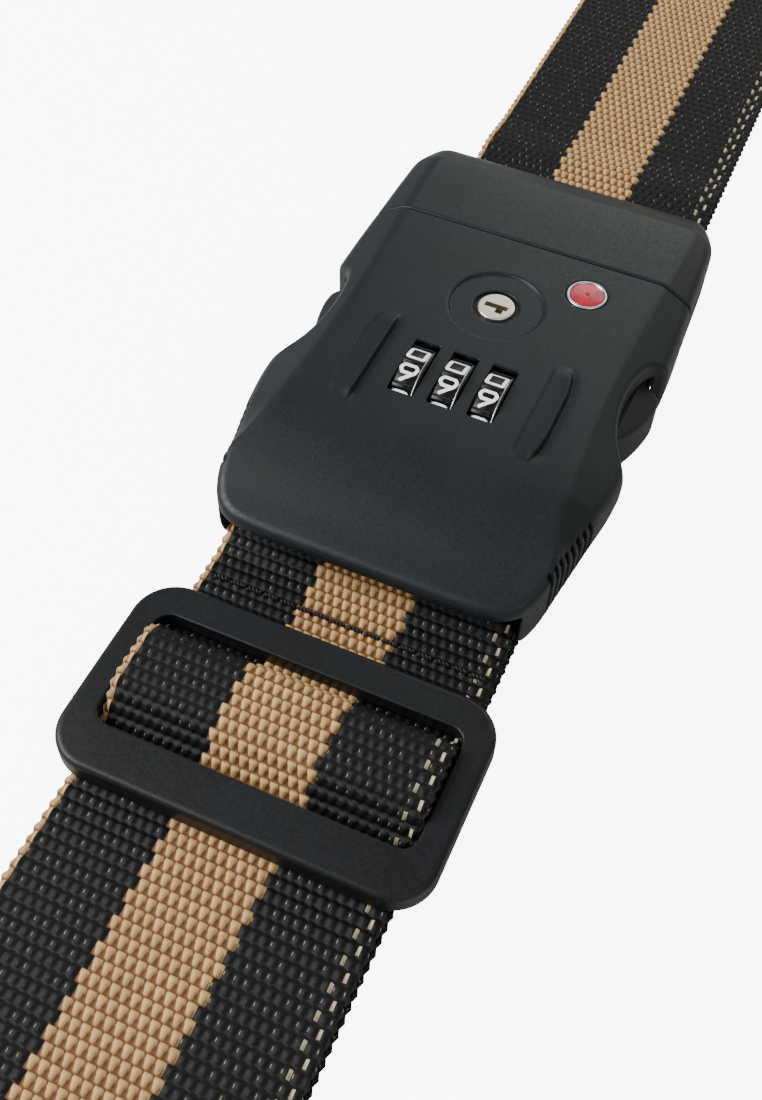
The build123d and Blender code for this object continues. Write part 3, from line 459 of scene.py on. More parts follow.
def surface_of(solid, low, high, cell):
    """Points, quads and normals of the zero surface of a distance function (surface nets)."""
    axes = [a + np.arange(int(round((b - a) / cell)) + 1) * cell for a, b in zip(low, high)]
    x, y, z = axes[0][:, None, None], axes[1][None, :, None], axes[2][None, None, :]
    value = np.broadcast_to(solid(x, y, z), [len(a) for a in axes]).astype(np.float32)
    inside = value < 0
    corners = np.array([(i, j, k) for i in (0, 1) for j in (0, 1) for k in (0, 1)])
    shape = [n - 1 for n in value.shape]
    count = np.zeros(shape, np.int8)
    for i, j, k in corners:
        count += inside[i:i + shape[0], j:j + shape[1], k:k + shape[2]]
    active = (count > 0) & (count < 8)
    cells = np.argwhere(active)
    number = np.full(shape, -1, np.int64)
    number[active] = np.arange(len(cells))
    total, crossings = np.zeros((len(cells), 3)), np.zeros(len(cells))
    for a in corners:
        for axis in range(3):
            if a[axis]:
                continue
            b = a.copy()
            b[axis] = 1
            first, second = value[tuple((cells + a).T)], value[tuple((cells + b).T)]
            crossed = (first < 0) != (second < 0)
            share = np.where(crossed, first / np.where(crossed, first - second, 1), 0)
            total += np.where(crossed[:, None], a + share[:, None] * (b - a), 0)
            crossings += crossed
    points = np.array(low) + (cells + total / crossings[:, None]) * cell
    quads = []
    for axis in range(3):
        one, two = (axis + 1) % 3, (axis + 2) % 3
        step = np.eye(3, dtype=int)
        before, after = [], []
        for direction, size in enumerate(inside.shape):
            before.append(slice(0, size - 1) if direction == axis else slice(1, size - 1))
            after.append(slice(1, size) if direction == axis else slice(1, size - 1))
        edge = np.argwhere(inside[tuple(before)] != inside[tuple(after)])
        edge = edge + step[one] + step[two]
        ring = [edge - step[one] - step[two], edge - step[two], edge, edge - step[one]]
        quad = np.stack([number[tuple(place.T)] for place in ring], 1)
        outward = inside[tuple(edge.T)]
        quads.append(np.where(outward[:, None], quad, quad[:, ::-1]))
    quads = np.vstack(quads)
    width = 0.02
    for _ in range(3):
        here = solid(*points.T)
        slope = slope_of(solid, points, width)
        move = here / np.maximum((slope**2).sum(1), 0.05)
        points = points - np.clip(move, -cell / 2, cell / 2)[:, None] * slope
    slope = slope_of(solid, points, width)
    return points, quads, slope / np.maximum(np.linalg.norm(slope, axis=1), 1e-9)[:, None]


def slope_of(solid, points, width):
    """Gradient of a distance function at points."""
    parts = []
    for axis in range(3):
        step = np.zeros(3)
        step[axis] = width
        parts.append((solid(*(points + step).T) - solid(*(points - step).T)) / (2 * width))
    return np.stack(parts, 1)


def solid_piece(name, node, solid, low, high, cell, body, material):
    """A moulded piece from a distance function, with its own smooth normals, in place of a CAD node."""
    points, quads, normals = surface_of(solid, low, high, cell)
    piece = new_piece(name, points, quads, body, material)
    piece.data.normals_split_custom_set_from_vertices(normals.tolist())
    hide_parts(node)


# ---- buckle form
# Fall of the side facets for each millimetre outwards, along Y
FACET_Y = (3.0, 8.0, 13.0, 18.0, 26.0, 45.0)
FACET_SLOPE = (1.5, 0.98, 0.7, 0.58, 0.54, 0.5625)
REAR_CORNER = 12.4
# Half width along Y, from the lip to the rear corner
SIDE_POINTS = [
    (15.0, LIP_Y), (20.0, LIP_Y + 0.3), (23.4, LIP_Y + 1.2), (26.0, LIP_Y + 3.4), (27.9, 1.5),
    (29.2, 8.0), (31.0, 18.0), (32.0, 27.0), (31.7, 42.0), (31.5, 60.0), (31.0, SEAM_Y),
    (30.4, REAR_Y - REAR_CORNER),
]
# Y and half width of the crease between the top face and the side facets
CREASE_POINTS = [
    (-12.0, 38.0), (0.0, 30.6), (5.0, 28.2), (9.0, 26.6), (13.0, 25.5), (17.0, 24.9), (24.0, 24.3),
    (32.0, 23.8), (45.0, 23.8), (60.0, 24.4), (SEAM_Y, 25.0), (84.0, 25.6), (104.0, 26.0),
]
# Y and height of the top face
TOP_POINTS = [
    (LIP_Y, TOP_Z - 7.2), (-5.2, TOP_Z - 5.7), (0.0, TOP_Z - 4.2), (7.0, TOP_Z - 2.1),
    (14.0, TOP_Z - 0.6), (22.0, TOP_Z), (50.0, TOP_Z), (82.0, TOP_Z), (89.5, TOP_Z - 0.9),
    (94.6, TOP_Z - 3.6), (REAR_Y, TOP_Z - 9.0),
]
# Inner edge of the side windows
NOTCH_POINTS = [
    (31.4, 54.6), (28.6, 52.4), (27.2, 47.5), (27.0, 41.0), (28.2, 35.0), (30.4, 31.0), (32.6, 27.8),
]
SIDE_CURVE = curve_through(SIDE_POINTS)
CREASE_CURVE = curve_through(CREASE_POINTS)
TOP_CURVE = curve_through(TOP_POINTS, 0.25)


def buckle_outline():
    """Closed outline of the whole buckle seen from above."""
    turn = np.radians(np.linspace(0, 90, 16))
    centre = (SIDE_CURVE[-1][0] - REAR_CORNER, REAR_Y - REAR_CORNER)
    corner = np.stack([centre[0] + REAR_CORNER * np.cos(turn), centre[1] + REAR_CORNER * np.sin(turn)], 1)
    right = np.vstack([SIDE_CURVE, corner])
    return np.vstack([right, right[::-1] * (-1, 1)])


def notch_outline():
    """Closed outline of the right side window, open to the outside."""
    inner = curve_through(NOTCH_POINTS)
    return np.vstack([[(42.0, 54.6)], inner, [(42.0, 27.8)]])


OUTLINE = Plan(buckle_outline())
NOTCH = Plan(notch_outline())
SEAM_EDGE = 0.5
# The side walls turn inwards below a height that changes along Y
UNDER_LEAN = 0.45
UNDER_Y = (-5.0, 3.0, 16.0, 28.0, 50.0, 60.0)
UNDER_Z = (6.0, 7.0, 10.0, 10.0, 7.0, 5.6)


def smooth_step(value, start, stop):
    """Rises from 0 at start to 1 at stop with soft ends."""
    share = np.clip((value - start) / (stop - start), 0, 1)
    return share * share * (3 - 2 * share)


def top_height(y):
    """Height of the top face along the buckle."""
    return np.interp(y, TOP_CURVE[:, 0], TOP_CURVE[:, 1])


def side_half_width(y):
    """Half width of the buckle along its length."""
    return np.interp(y, SIDE_CURVE[:, 1], SIDE_CURVE[:, 0])


def buckle_solid(x, y, z):
    """The solid outer form shared by the socket and the plug."""
    rise = (top_height(y + 0.1) - top_height(y - 0.1)) / 0.2
    top = (z - top_height(y)) / np.sqrt(1 + rise**2)
    crease = np.interp(y, CREASE_CURVE[:, 0], CREASE_CURVE[:, 1])
    slope = np.interp(y, FACET_Y, FACET_SLOPE)
    facet = (z - top_height(y) + (np.abs(x) - crease) * slope) / np.sqrt(1 + slope**2)
    roof = smooth_max(top, facet, 0.6)
    under = OUTLINE(x, y) + UNDER_LEAN * (np.interp(y, UNDER_Y, UNDER_Z) - z)
    wall = smooth_max(OUTLINE(x, y), under, 1.5)
    body = smooth_max(roof, wall, 1.7)
    return smooth_max(body, BASE_Z - z, 1.0)


# ---- socket shell
ROOF_THICK = 2.2
DIAL_ROOF_THICK = 0.7
RELIEF_HALF_Y = 7.7
COVER_TOP_Z = BASE_Z + 2.0
CHAMBER_HALF = 22.5
CHAMBER_Y = 10.5
ARM_ROOM_HALF = 29.3
ARM_ROOM_Y = 31.0
ARM_ROOM_Z = 15.4
THROAT_HALF = WEB_WIDTH / 2 + 0.6
THROAT_END_Y = 8.9
MOUTH_TOP_Z = 13.4
DIAL_PITCH = cad_box("dial_right")[0][0] - DIAL_LOW[0]
DIAL_Y = (DIAL_LOW[1] + DIAL_HIGH[1]) / 2
DIAL_Z = (DIAL_LOW[2] + DIAL_HIGH[2]) / 2
DIAL_RADIUS = (DIAL_HIGH[2] - DIAL_LOW[2]) / 2 + 0.15
WINDOW_WIDTH = 4.5
# How far a window reaches before and behind the dials' axis
WINDOW_REACH = (6.1, 6.6)
KEY_Y = (KEY_LOW[1] + KEY_HIGH[1]) / 2
KEY_HOLE_RADIUS = 4.05
DISH_RADIUS = 8.2
DISH_DEPTH = 0.3
DOT_X, DOT_Y = (DOT_LOW[0] + DOT_HIGH[0]) / 2, (DOT_LOW[1] + DOT_HIGH[1]) / 2
DOT_RADIUS = (DOT_HIGH[0] - DOT_LOW[0]) / 2
DOT_SEAT = 0.8
DOT_GAP = 0.12
GRIP_COUNT = 8
GRIP_SLIMNESS = 0.44
GRIP_PITCH = 1.75
GRIP_Y = 3.6
GRIP_DEPTH = 1.1
GRIP_TOP_Z = 18.2
COVER_LOW, COVER_HIGH = cad_box("socket_back_cover")
COVER_INSET = 3.1
COVER_GAP = 0.1


def side_grips(x, y, first_y, pitch, depth):
    """Upright grooves along both side walls, a little narrower than they are deep."""
    nearest = None
    for index in range(GRIP_COUNT):
        place = first_y + index * pitch
        wall = np.abs(y - place) - depth * GRIP_SLIMNESS
        groove = np.maximum(wall, side_half_width(place) - depth - np.abs(x))
        nearest = groove if nearest is None else np.minimum(nearest, groove)
    return nearest


# Bands beside the dials: each rises towards +X to a crest, with a groove beyond it
BAND_NEAR_X = 14.4
BAND_Y = (21.0, 24.0, 27.0, 37.0, 41.0, 43.0)
BAND_FAR_X = (17.2, 17.9, 18.2, 18.2, 17.6, 16.8)
BAND_START_Y = (20.5, 23.5)
BAND_STOP_Y = (40.0, 43.5)
BAND_RISE = 0.7
BAND_GROOVE = 0.3


def band_height(x, y):
    """Height of the top face over its plain form."""
    far = np.interp(y, BAND_Y, BAND_FAR_X)
    start = np.where(x > 0, BAND_NEAR_X, -far)
    crest = np.where(x > 0, far, -BAND_NEAR_X)
    climb = BAND_RISE * np.clip((x - start) / (crest - start), 0, 1) ** 1.4
    past = x - crest
    drop = smooth_step(past, 0.0, 0.7)
    beyond = BAND_RISE * (1 - drop) - BAND_GROOVE * drop * (1 - smooth_step(past, 0.5, 2.4))
    line = -0.2 * np.exp(-(((x - start) / 0.2) ** 2))
    ends = smooth_step(y, *BAND_START_Y) * (1 - smooth_step(y, *BAND_STOP_Y))
    return ends * (np.where(past < 0, climb, beyond) + line)


def dial_windows(x, y, z):
    """The three openings over the dials."""
    nearest = None
    for place in (-DIAL_PITCH, 0.0, DIAL_PITCH):
        low = (place - WINDOW_WIDTH / 2, DIAL_Y - WINDOW_REACH[0], None)
        high = (place + WINDOW_WIDTH / 2, DIAL_Y + WINDOW_REACH[1], None)
        opening = box_distance(x, y, z, low, high, 0.35)
        nearest = opening if nearest is None else np.minimum(nearest, opening)
    return nearest


def socket_rooms(x, y, z):
    """The lock chamber and the wider room behind it for the arms."""
    low, high = (-CHAMBER_HALF, CHAMBER_Y, None), (CHAMBER_HALF, None, TOP_Z - ROOF_THICK)
    chamber = box_distance(x, y, z, low, high, 0.3)
    low, high = (-ARM_ROOM_HALF, ARM_ROOM_Y, None), (ARM_ROOM_HALF, None, ARM_ROOM_Z)
    return np.minimum(chamber, box_distance(x, y, z, low, high, 0.3))


def dial_relief(x, y, z):
    """The pocket that thins the roof over the dials."""
    low = (-1.5 * DIAL_PITCH, DIAL_Y - RELIEF_HALF_Y, None)
    high = (1.5 * DIAL_PITCH, DIAL_Y + RELIEF_HALF_Y, TOP_Z - DIAL_ROOF_THICK)
    return box_distance(x, y, z, low, high, 0.2)


def socket_solid(x, y, z):
    """The socket's shell: the outer form, its openings and the rooms inside."""
    body = smooth_max(buckle_solid(x, y, z - band_height(x, y)), y - SOCKET_END_Y, SEAM_EDGE)
    body = cut(body, NOTCH(np.abs(x), y) + 0 * z, 0.9)
    grips = side_grips(x, y, GRIP_Y, GRIP_PITCH, GRIP_DEPTH)
    body = cut(body, np.maximum(grips, z - GRIP_TOP_Z), 0.15)
    low, high = (-THROAT_HALF, None, None), (THROAT_HALF, THROAT_END_Y, MOUTH_TOP_Z)
    body = cut(body, box_distance(x, y, z, low, high, 0.3), 0.9)
    body = cut(body, dial_windows(x, y, z), 0.25)
    from_key = circle_distance(x, y, 0.0, KEY_Y, 0.0)
    dish = np.maximum(from_key - DISH_RADIUS, (TOP_Z - DISH_DEPTH) - z)
    body = cut(body, dish, 0.7)
    body = cut(body, from_key - KEY_HOLE_RADIUS + 0 * z, 0.3)
    seat = circle_distance(x, y, DOT_X, DOT_Y, DOT_RADIUS + DOT_GAP)
    body = cut(body, np.maximum(seat, TOP_Z - DOT_SEAT - z), 0.25)
    body = cut(body, dial_relief(x, y, z), 0.1)
    body = cut(body, socket_rooms(x, y, z), 0.3)
    past_cover = np.maximum(COVER_LOW[1] - COVER_GAP - y, y - COVER_HIGH[1] - COVER_GAP)
    inset = np.maximum(OUTLINE(x, y) + COVER_INSET, past_cover)
    return cut(body, np.maximum(inset, z - COVER_TOP_Z), 0.2)


SHELL_CELL = 0.3
SEARCH_X = 33.6


def make_socket():
    """The socket's shell as one piece."""
    low, high = (-SEARCH_X, LIP_Y - 1.2, BASE_Z - 0.9), (SEARCH_X, SOCKET_END_Y + 1.2, TOP_Z + 1.2)
    solid_piece("socket_shell", "socket_top_shell", socket_solid, low, high, SHELL_CELL, "socket", "shell")


# ---- plug shell
TONGUE_Y = PLUG_LOW[1]
TONGUE_HALF = 14.0
TONGUE_LOW_Z = 8.4
TONGUE_THICK = 4.0
PLUG_THROAT_Y = 83.2
REAR_MOUTH_Z = 7.0
REAR_WALL = 2.5
THROAT_TOP_Z = PLUG_BAR_HIGH[2] + 0.05 + WEB_THICK + 0.4
PLUG_GRIP_Y = 73.8
PLUG_GRIP_PITCH = 1.4
PLUG_GRIP_DEPTH = 0.45
PLUG_GRIP_TOP_Z = 16.0
ARM_PIVOT_X = 26.8
ROOT_POCKET_HALF = 2.8
ROOT_POCKET_END_Y = 81.0


def plug_solid(x, y, z):
    """The plug: the rear of the outer form with its tongue and the pockets for the arms' roots."""
    body = smooth_max(buckle_solid(x, y, z), SEAM_Y - y, SEAM_EDGE)
    grips = side_grips(x, y, PLUG_GRIP_Y, PLUG_GRIP_PITCH, PLUG_GRIP_DEPTH)
    body = cut(body, np.maximum(grips, z - PLUG_GRIP_TOP_Z), 0.3)
    mouth = box_distance(x, y, z, (-THROAT_HALF, PLUG_THROAT_Y, None), (THROAT_HALF, None, REAR_MOUTH_Z), 0.3)
    low, high = (-THROAT_HALF, PLUG_THROAT_Y, None), (THROAT_HALF, REAR_Y - REAR_WALL, THROAT_TOP_Z)
    throat = box_distance(x, y, z, low, high, 0.3)
    body = cut(body, np.minimum(mouth, throat), 0.5)
    side = np.abs(np.abs(x) - ARM_PIVOT_X)
    pocket = box_distance(side, y, z, (None, None, ARM_LOW[2] - 0.4),
                          (ROOT_POCKET_HALF, ROOT_POCKET_END_Y, ARM_HIGH[2] + 0.4), 0.3)
    body = cut(body, pocket, 0.3)
    tongue = box_distance(x, y, z, (-TONGUE_HALF, TONGUE_Y, TONGUE_LOW_Z),
                          (TONGUE_HALF, SEAM_Y + 1.0, TONGUE_LOW_Z + TONGUE_THICK), 0.6)
    return join(body, tongue, 0.3)


def make_plug():
    """The plug's shell as one piece."""
    low, high = (-SEARCH_X, TONGUE_Y - 1.2, BASE_Z - 0.9), (SEARCH_X, REAR_Y + 1.2, TOP_Z + 1.2)
    solid_piece("plug_shell", "plug_head", plug_solid, low, high, SHELL_CELL, "plug", "shell")


# ---- release arms
ARM_POINTS = [
    (26.0, 33.6), (27.0, 35.4), (28.7, 38.5), (30.2, 42.0), (31.2, 45.5), (31.75, 49.0), (31.6, 51.4),
]
ARM_CELL = 0.28
ARM_PLAN = Plan(np.vstack([
    curve_through(ARM_POINTS),
    [(30.6, 52.2), (28.5, 52.6), (28.4, 60.0), (28.4, 79.0), (27.9, 80.15), (26.8, 80.6), (25.7, 80.15),
     (25.2, 79.0), (25.2, 60.0), (24.2, 38.0), (24.4, 34.0)],
]))


def arm_solid(x, y, z):
    """A release arm; its grip has a smooth side and a top that slopes outwards."""
    slope = (z - ARM_HIGH[2] + 0.55 * np.maximum(np.abs(x) - 27.6, 0)) * 0.87
    body = smooth_max(ARM_PLAN(np.abs(x), y), slope, 0.7)
    return smooth_max(body, ARM_LOW[2] - z, 0.6)


def make_arms():
    """Both release arms, each cut from its own side of the same form."""
    for side, sign in (("right", 1), ("left", -1)):
        near, far = sorted((sign * 23.2, sign * 33.0))
        low, high = (near, 32.4, ARM_LOW[2] - 0.8), (far, 81.0, ARM_HIGH[2] + 0.8)
        solid_piece("arm_grip_" + side, "release_arm_" + side, arm_solid, low, high, ARM_CELL,
                    "arm_" + side, "shell")


# ---- slider
FRAME_CORNER = 7.0
WINDOW_HALF = (25.3, 10.3)
FRAME_WINDOW_Y = -32.5
FRAME_CROWN = 0.0008
FRAME_CELL = 0.26
POCKET_Z = 7.5
POCKET_Y = (-47.8, -18.6)
# Half the length along Y and half the height of the centre bar
CENTRE_BAR = (3.0, 1.0)
CENTRE_BAR_Z = 8.6


def frame_solid(x, y, z):
    """Slider: a rounded ring with a dished window, a centre bar and a recess for the webbing below."""
    middle_y = (FRAME_LOW[1] + FRAME_HIGH[1]) / 2
    low = (FRAME_LOW[0], FRAME_LOW[1], None)
    high = (FRAME_HIGH[0], FRAME_HIGH[1], None)
    plan = box_distance(x, y, 0 * z, low, high, FRAME_CORNER)
    crown = z - FRAME_HIGH[2] + FRAME_CROWN * (y - middle_y) ** 2
    body = smooth_max(plan, crown, 1.1)
    body = smooth_max(body, FRAME_LOW[2] - z, 0.7)
    low = (-WINDOW_HALF[0], FRAME_WINDOW_Y - WINDOW_HALF[1], None)
    high = (WINDOW_HALF[0], FRAME_WINDOW_Y + WINDOW_HALF[1], None)
    body = cut(body, box_distance(x, y, 0 * z, low, high, 2.5), 0.35)
    low, high = (-WINDOW_HALF[0], POCKET_Y[0], None), (WINDOW_HALF[0], POCKET_Y[1], POCKET_Z)
    body = cut(body, box_distance(x, y, z, low, high, 0.3), 0.3)
    low = (-WINDOW_HALF[0] - 1, FRAME_WINDOW_Y - CENTRE_BAR[0], CENTRE_BAR_Z - CENTRE_BAR[1])
    high = (WINDOW_HALF[0] + 1, FRAME_WINDOW_Y + CENTRE_BAR[0], CENTRE_BAR_Z + CENTRE_BAR[1])
    return join(body, box_distance(x, y, z, low, high, 0.9), 0.3)


def make_slider():
    """The slider's ring with its centre bar."""
    solid_piece("slider_ring", "slider_frame", frame_solid, FRAME_LOW - 0.8, FRAME_HIGH + 0.8, FRAME_CELL,
                "slider", "slider")


# ---- dials
DIGITS = 10
DIAL_WIDTH = DIAL_HIGH[0] - DIAL_LOW[0]
FLANGE_WIDTH = 0.28
INK_LIFT = 0.03
DIGIT_WIDTH = 2.9
DIGIT_HEIGHT = 3.1
STROKE = 0.6
DIGIT_RADIUS = DIAL_RADIUS - 0.42
RIDGE_HEIGHT = 0.4
BORE_RADIUS = 2.65
# Strokes of plain squared numerals in a box from (-1, -1) to (1, 1)
DIGIT_STROKES = {
    0: [[(-1, -1), (-1, 1), (1, 1), (1, -1), (-1, -1)]],
    1: [[(-0.4, 0.6), (0.1, 1), (0.1, -1)]],
    2: [[(-1, 0.8), (-0.7, 1), (0.8, 1), (1, 0.6), (0.9, 0.1), (-1, -1), (1, -1)]],
    3: [[(-1, 1), (1, 1), (0.1, 0.1), (0.8, 0), (1, -0.5), (0.7, -1), (-1, -1)]],
    4: [[(0.5, -1), (0.5, 1), (-1, -0.4), (1, -0.4)]],
    5: [[(0.9, 1), (-0.8, 1), (-0.9, 0.1), (0.7, 0.1), (1, -0.4), (0.7, -1), (-1, -1)]],
    6: [[(0.6, 1), (-0.8, -0.1), (-1, -0.6), (-0.7, -1), (0.7, -1), (1, -0.5), (0.7, 0), (-0.7, 0)]],
    7: [[(-1, 1), (1, 1), (-0.2, -1)]],
    8: [[(0, 0.1), (-0.8, 0.2), (-0.9, 0.8), (-0.6, 1), (0.6, 1), (0.9, 0.8), (0.8, 0.2), (0, 0.1),
         (-0.9, -0.2), (-1, -0.8), (-0.7, -1), (0.7, -1), (1, -0.8), (0.9, -0.2), (0, 0.1)]],
    9: [[(-0.6, -1), (0.8, 0.1), (1, 0.6), (0.7, 1), (-0.7, 1), (-1, 0.5), (-0.7, 0), (0.7, 0)]],
}


def wheel_radius(angle):
    """Radius of a dial round its axis: a raised ridge stands between the digits."""
    turn = (angle / (2 * np.pi / DIGITS)) % 1.0
    from_ridge = 0.5 - np.abs(turn - 0.5)
    ridge = np.clip((0.115 - from_ridge) / 0.05, 0, 1)
    return DIGIT_RADIUS + RIDGE_HEIGHT * smooth_step(ridge, 0, 1)


def round_dial_axis(across, radius, angle):
    """Points at a radius and angle round the dials' axis, at a place along it."""
    return np.stack([across, DIAL_Y + radius * np.sin(angle), DIAL_Z + radius * np.cos(angle)], 1)


def dial_ring(name, side, middle_x, angle, profile, material):
    """A lathed ring on one dial, from pairs of place along the axis and radius."""
    rings = [round_dial_axis(np.full_like(angle, middle_x + across), radius + 0 * angle, angle)
             for across, radius in profile]
    faces = grid_faces(len(profile), len(angle), close_rows=True, close_columns=True)[:, ::-1]
    return new_piece(name + side, np.vstack(rings), faces, "dial_" + side, material)


def make_wheel(side, middle_x):
    """The wheel of one dial, with its ridges."""
    half = DIAL_WIDTH / 2
    flange = half - FLANGE_WIDTH
    angle = np.linspace(0, 2 * np.pi, 360, endpoint=False)
    outer = wheel_radius(angle)
    profile = [(-half, BORE_RADIUS), (-half, outer - 0.45), (-half + 0.14, outer - 0.12),
               (-half + 0.36, outer), (0.0, outer), (flange - 0.06, outer), (flange, outer - 0.3),
               (flange, BORE_RADIUS)]
    piece = dial_ring("wheel_", side, middle_x, angle, profile, "dial")
    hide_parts("dial_" + side)


def make_flange_and_highlight(side, middle_x):
    """The light metal rim on the right side of a wheel; its bright colour is partly a painted highlight,
    standing in for light caught by the wheel's rounded edge.
    """
    half = DIAL_WIDTH / 2
    start = half - FLANGE_WIDTH + 0.02
    radius = DIAL_RADIUS - 0.12
    bore = BORE_RADIUS + 0.05
    profile = [(start, bore), (start, radius - 0.1), (start + 0.1, radius), (half - 0.12, radius),
               (half, radius - 0.12), (half, bore)]
    angle = np.linspace(0, 2 * np.pi, 180, endpoint=False)
    dial_ring("flange_", side, middle_x, angle, profile, "rim")


def stroke_ribbon(path):
    """Flat ribbon along a path with rounded turns: points and quads in the plane."""
    path = np.asarray(path, float) * (DIGIT_WIDTH / 2, DIGIT_HEIGHT / 2)
    dense = [path[0]]
    for start, end in zip(path, path[1:]):
        count = max(2, int(np.linalg.norm(end - start) / 0.08))
        dense.extend(start + (end - start) * t for t in np.linspace(0, 1, count + 1)[1:])
    dense = np.array(dense)
    closed = np.allclose(path[0], path[-1])
    for _ in range(6):
        if closed:
            ring = dense[:-1]
            ring = (np.roll(ring, 1, 0) + 2 * ring + np.roll(ring, -1, 0)) / 4
            dense = np.vstack([ring, ring[:1]])
        else:
            dense[1:-1] = (dense[:-2] + 2 * dense[1:-1] + dense[2:]) / 4
    along = np.gradient(dense, axis=0)
    if closed:
        along[0] = along[-1] = dense[1] - dense[-2]
    along /= np.linalg.norm(along, axis=1)[:, None]
    side = np.stack([-along[:, 1], along[:, 0]], 1) * STROKE / 2
    if not closed:
        for index, way in ((0, -1), (-1, 1)):
            side[index] *= 0.55
            dense[index] += along[index] * way * STROKE * 0.2
    rows = np.stack([dense - side, dense + side], 1).reshape(-1, 2)
    return rows, grid_faces(len(dense), 2)


def make_digits(side, middle_x):
    """White numerals bent round one wheel. The opening shows 0 above 9."""
    points, faces = [], []
    count = 0
    for digit, strokes in DIGIT_STROKES.items():
        turn = (digit + 0.5) * 2 * math.pi / DIGITS
        for stroke in strokes:
            flat, quads = stroke_ribbon(stroke)
            radius = DIGIT_RADIUS + INK_LIFT
            across = middle_x - FLANGE_WIDTH / 2 + flat[:, 0]
            points.append(round_dial_axis(across, radius, turn + flat[:, 1] / radius))
            faces.append(quads + count)
            count += len(flat)
    new_piece("digits_" + side, np.vstack(points), np.vstack(faces)[:, ::-1], "dial_" + side, "ink")


def make_dials():
    """Three dials, each a wheel with its bright rim and numerals; the rim's light colour is partly a painted
    highlight.
    """
    for side, place in (("left", -DIAL_PITCH), ("middle", 0.0), ("right", DIAL_PITCH)):
        make_wheel(side, place)
        make_flange_and_highlight(side, place)
        make_digits(side, place)


# ---- enamel dot
def lathe(name, profile, centre, body, material):
    """A turned piece round an upright axis, from (radius, height) points."""
    angle = np.linspace(0, 2 * np.pi, 96, endpoint=False)
    rings = []
    for radius, height in profile:
        x, y = centre[0] + radius * np.cos(angle), centre[1] + radius * np.sin(angle)
        rings.append(np.stack([x, y, np.full_like(angle, height)], 1))
    faces = grid_faces(len(profile), len(angle), close_rows=True, close_columns=True)
    return new_piece(name, np.vstack(rings), faces, body, material)


def make_dot():
    """A domed red enamel dot in a bright rim."""
    centre = (DOT_X, DOT_Y)
    low, edge = DOT_LOW[2] + 0.02, DOT_RADIUS
    rim = [(edge - 0.55, low), (edge, low), (edge, TOP_Z + 0.02), (edge - 0.10, TOP_Z + 0.16),
           (edge - 0.26, TOP_Z + 0.20), (edge - 0.42, TOP_Z + 0.16), (edge - 0.55, TOP_Z + 0.02)]
    ring = lathe("dot_rim", rim, centre, "socket", "rim")
    reach = edge - 0.56
    dome = [(0.02, low + 0.1), (reach, low + 0.1), (reach, TOP_Z + 0.0)]
    for share in (0.92, 0.8, 0.6, 0.4, 0.2, 0.02):
        dome.append((reach * share, TOP_Z + 0.14 * (1 - share**2)))
    lathe("dot_enamel", dome, centre, "socket", "red")
    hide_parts("enamel_dot")


# ---- webbing
TAN_HALF = 8.25
TOP_OUT = 0.72
PIT = 0.14
EDGE_ROUND = 0.75
SELVEDGE_STEPS = 4
SELVEDGE_BEAD = 0.2
SELVEDGE_RADIUS = 0.34
# Rows of the inner face lie half a row from those of the outer face
BACK_SHIFT = 0.5
FLARE_RISE = LAYER_Z[3] + FLARE_RADIUS - TURN_RADIUS
FLARE_REACH = TURN_RADIUS - WEB_THICK / 2 + FLARE_RADIUS
FLARE_ANGLE = math.asin(FLARE_RISE / FLARE_REACH)
FLARE_SHIFT = FLARE_REACH * math.cos(FLARE_ANGLE)
FRONT_JOINT_Y = -130.0
UNDER_ROWS = 154
BACK_JOINT_Y = FRONT_JOINT_Y + UNDER_ROWS * ROW
KINK = 1.2
SLIDER_WEB_HALF = 24.9


def arc(centre, radius, start, stop):
    """Points on an arc in the YZ plane, angles in radians from +Y towards +Z."""
    count = max(4, int(abs(stop - start) * radius / 0.2))
    angle = np.linspace(start, stop, count)
    return np.stack([centre[0] + radius * np.cos(angle), centre[1] + radius * np.sin(angle)], 1)


def round_corners(points, radius):
    """A polyline with its corners replaced by arcs."""
    points = np.asarray(points, float)
    path = [points[0]]
    for before, corner, after in zip(points, points[1:], points[2:]):
        back = (before - corner) / np.linalg.norm(before - corner)
        ahead = (after - corner) / np.linalg.norm(after - corner)
        half = math.acos(np.clip(back @ ahead, -1, 1)) / 2
        shorter = min(np.linalg.norm(before - corner), np.linalg.norm(after - corner))
        reach = min(radius / math.tan(half), shorter * 0.49)
        start, stop = corner + back * reach, corner + ahead * reach
        for t in np.linspace(0, 1, 12):
            path.append((1 - t) ** 2 * start + 2 * t * (1 - t) * corner + t**2 * stop)
    return np.vstack(path + [points[-1]])


def front_turn(inset):
    """From the bottom run at the -Y end up and round to the top run, travelling -Y then +Y."""
    radius = TURN_RADIUS - WEB_THICK / 2 - inset
    turn = arc((SLIDER_END_Y, TURN_RADIUS), radius, 1.5 * np.pi, FLARE_ANGLE)
    centre = (SLIDER_END_Y + FLARE_SHIFT, LAYER_Z[3] + FLARE_RADIUS)
    return np.vstack([turn, arc(centre, FLARE_RADIUS + inset, np.pi + FLARE_ANGLE, 1.5 * np.pi)])


def back_turn(inset):
    """From the top run at the +Y end down and round to the bottom run."""
    radius = TURN_RADIUS - WEB_THICK / 2 - inset
    centre = (PLUG_END_Y - FLARE_SHIFT, LAYER_Z[3] + FLARE_RADIUS)
    flare = arc(centre, FLARE_RADIUS + inset, 1.5 * np.pi, 2 * np.pi - FLARE_ANGLE)
    return np.vstack([flare, arc((PLUG_END_Y, TURN_RADIUS), radius, np.pi - FLARE_ANGLE, -0.5 * np.pi)])


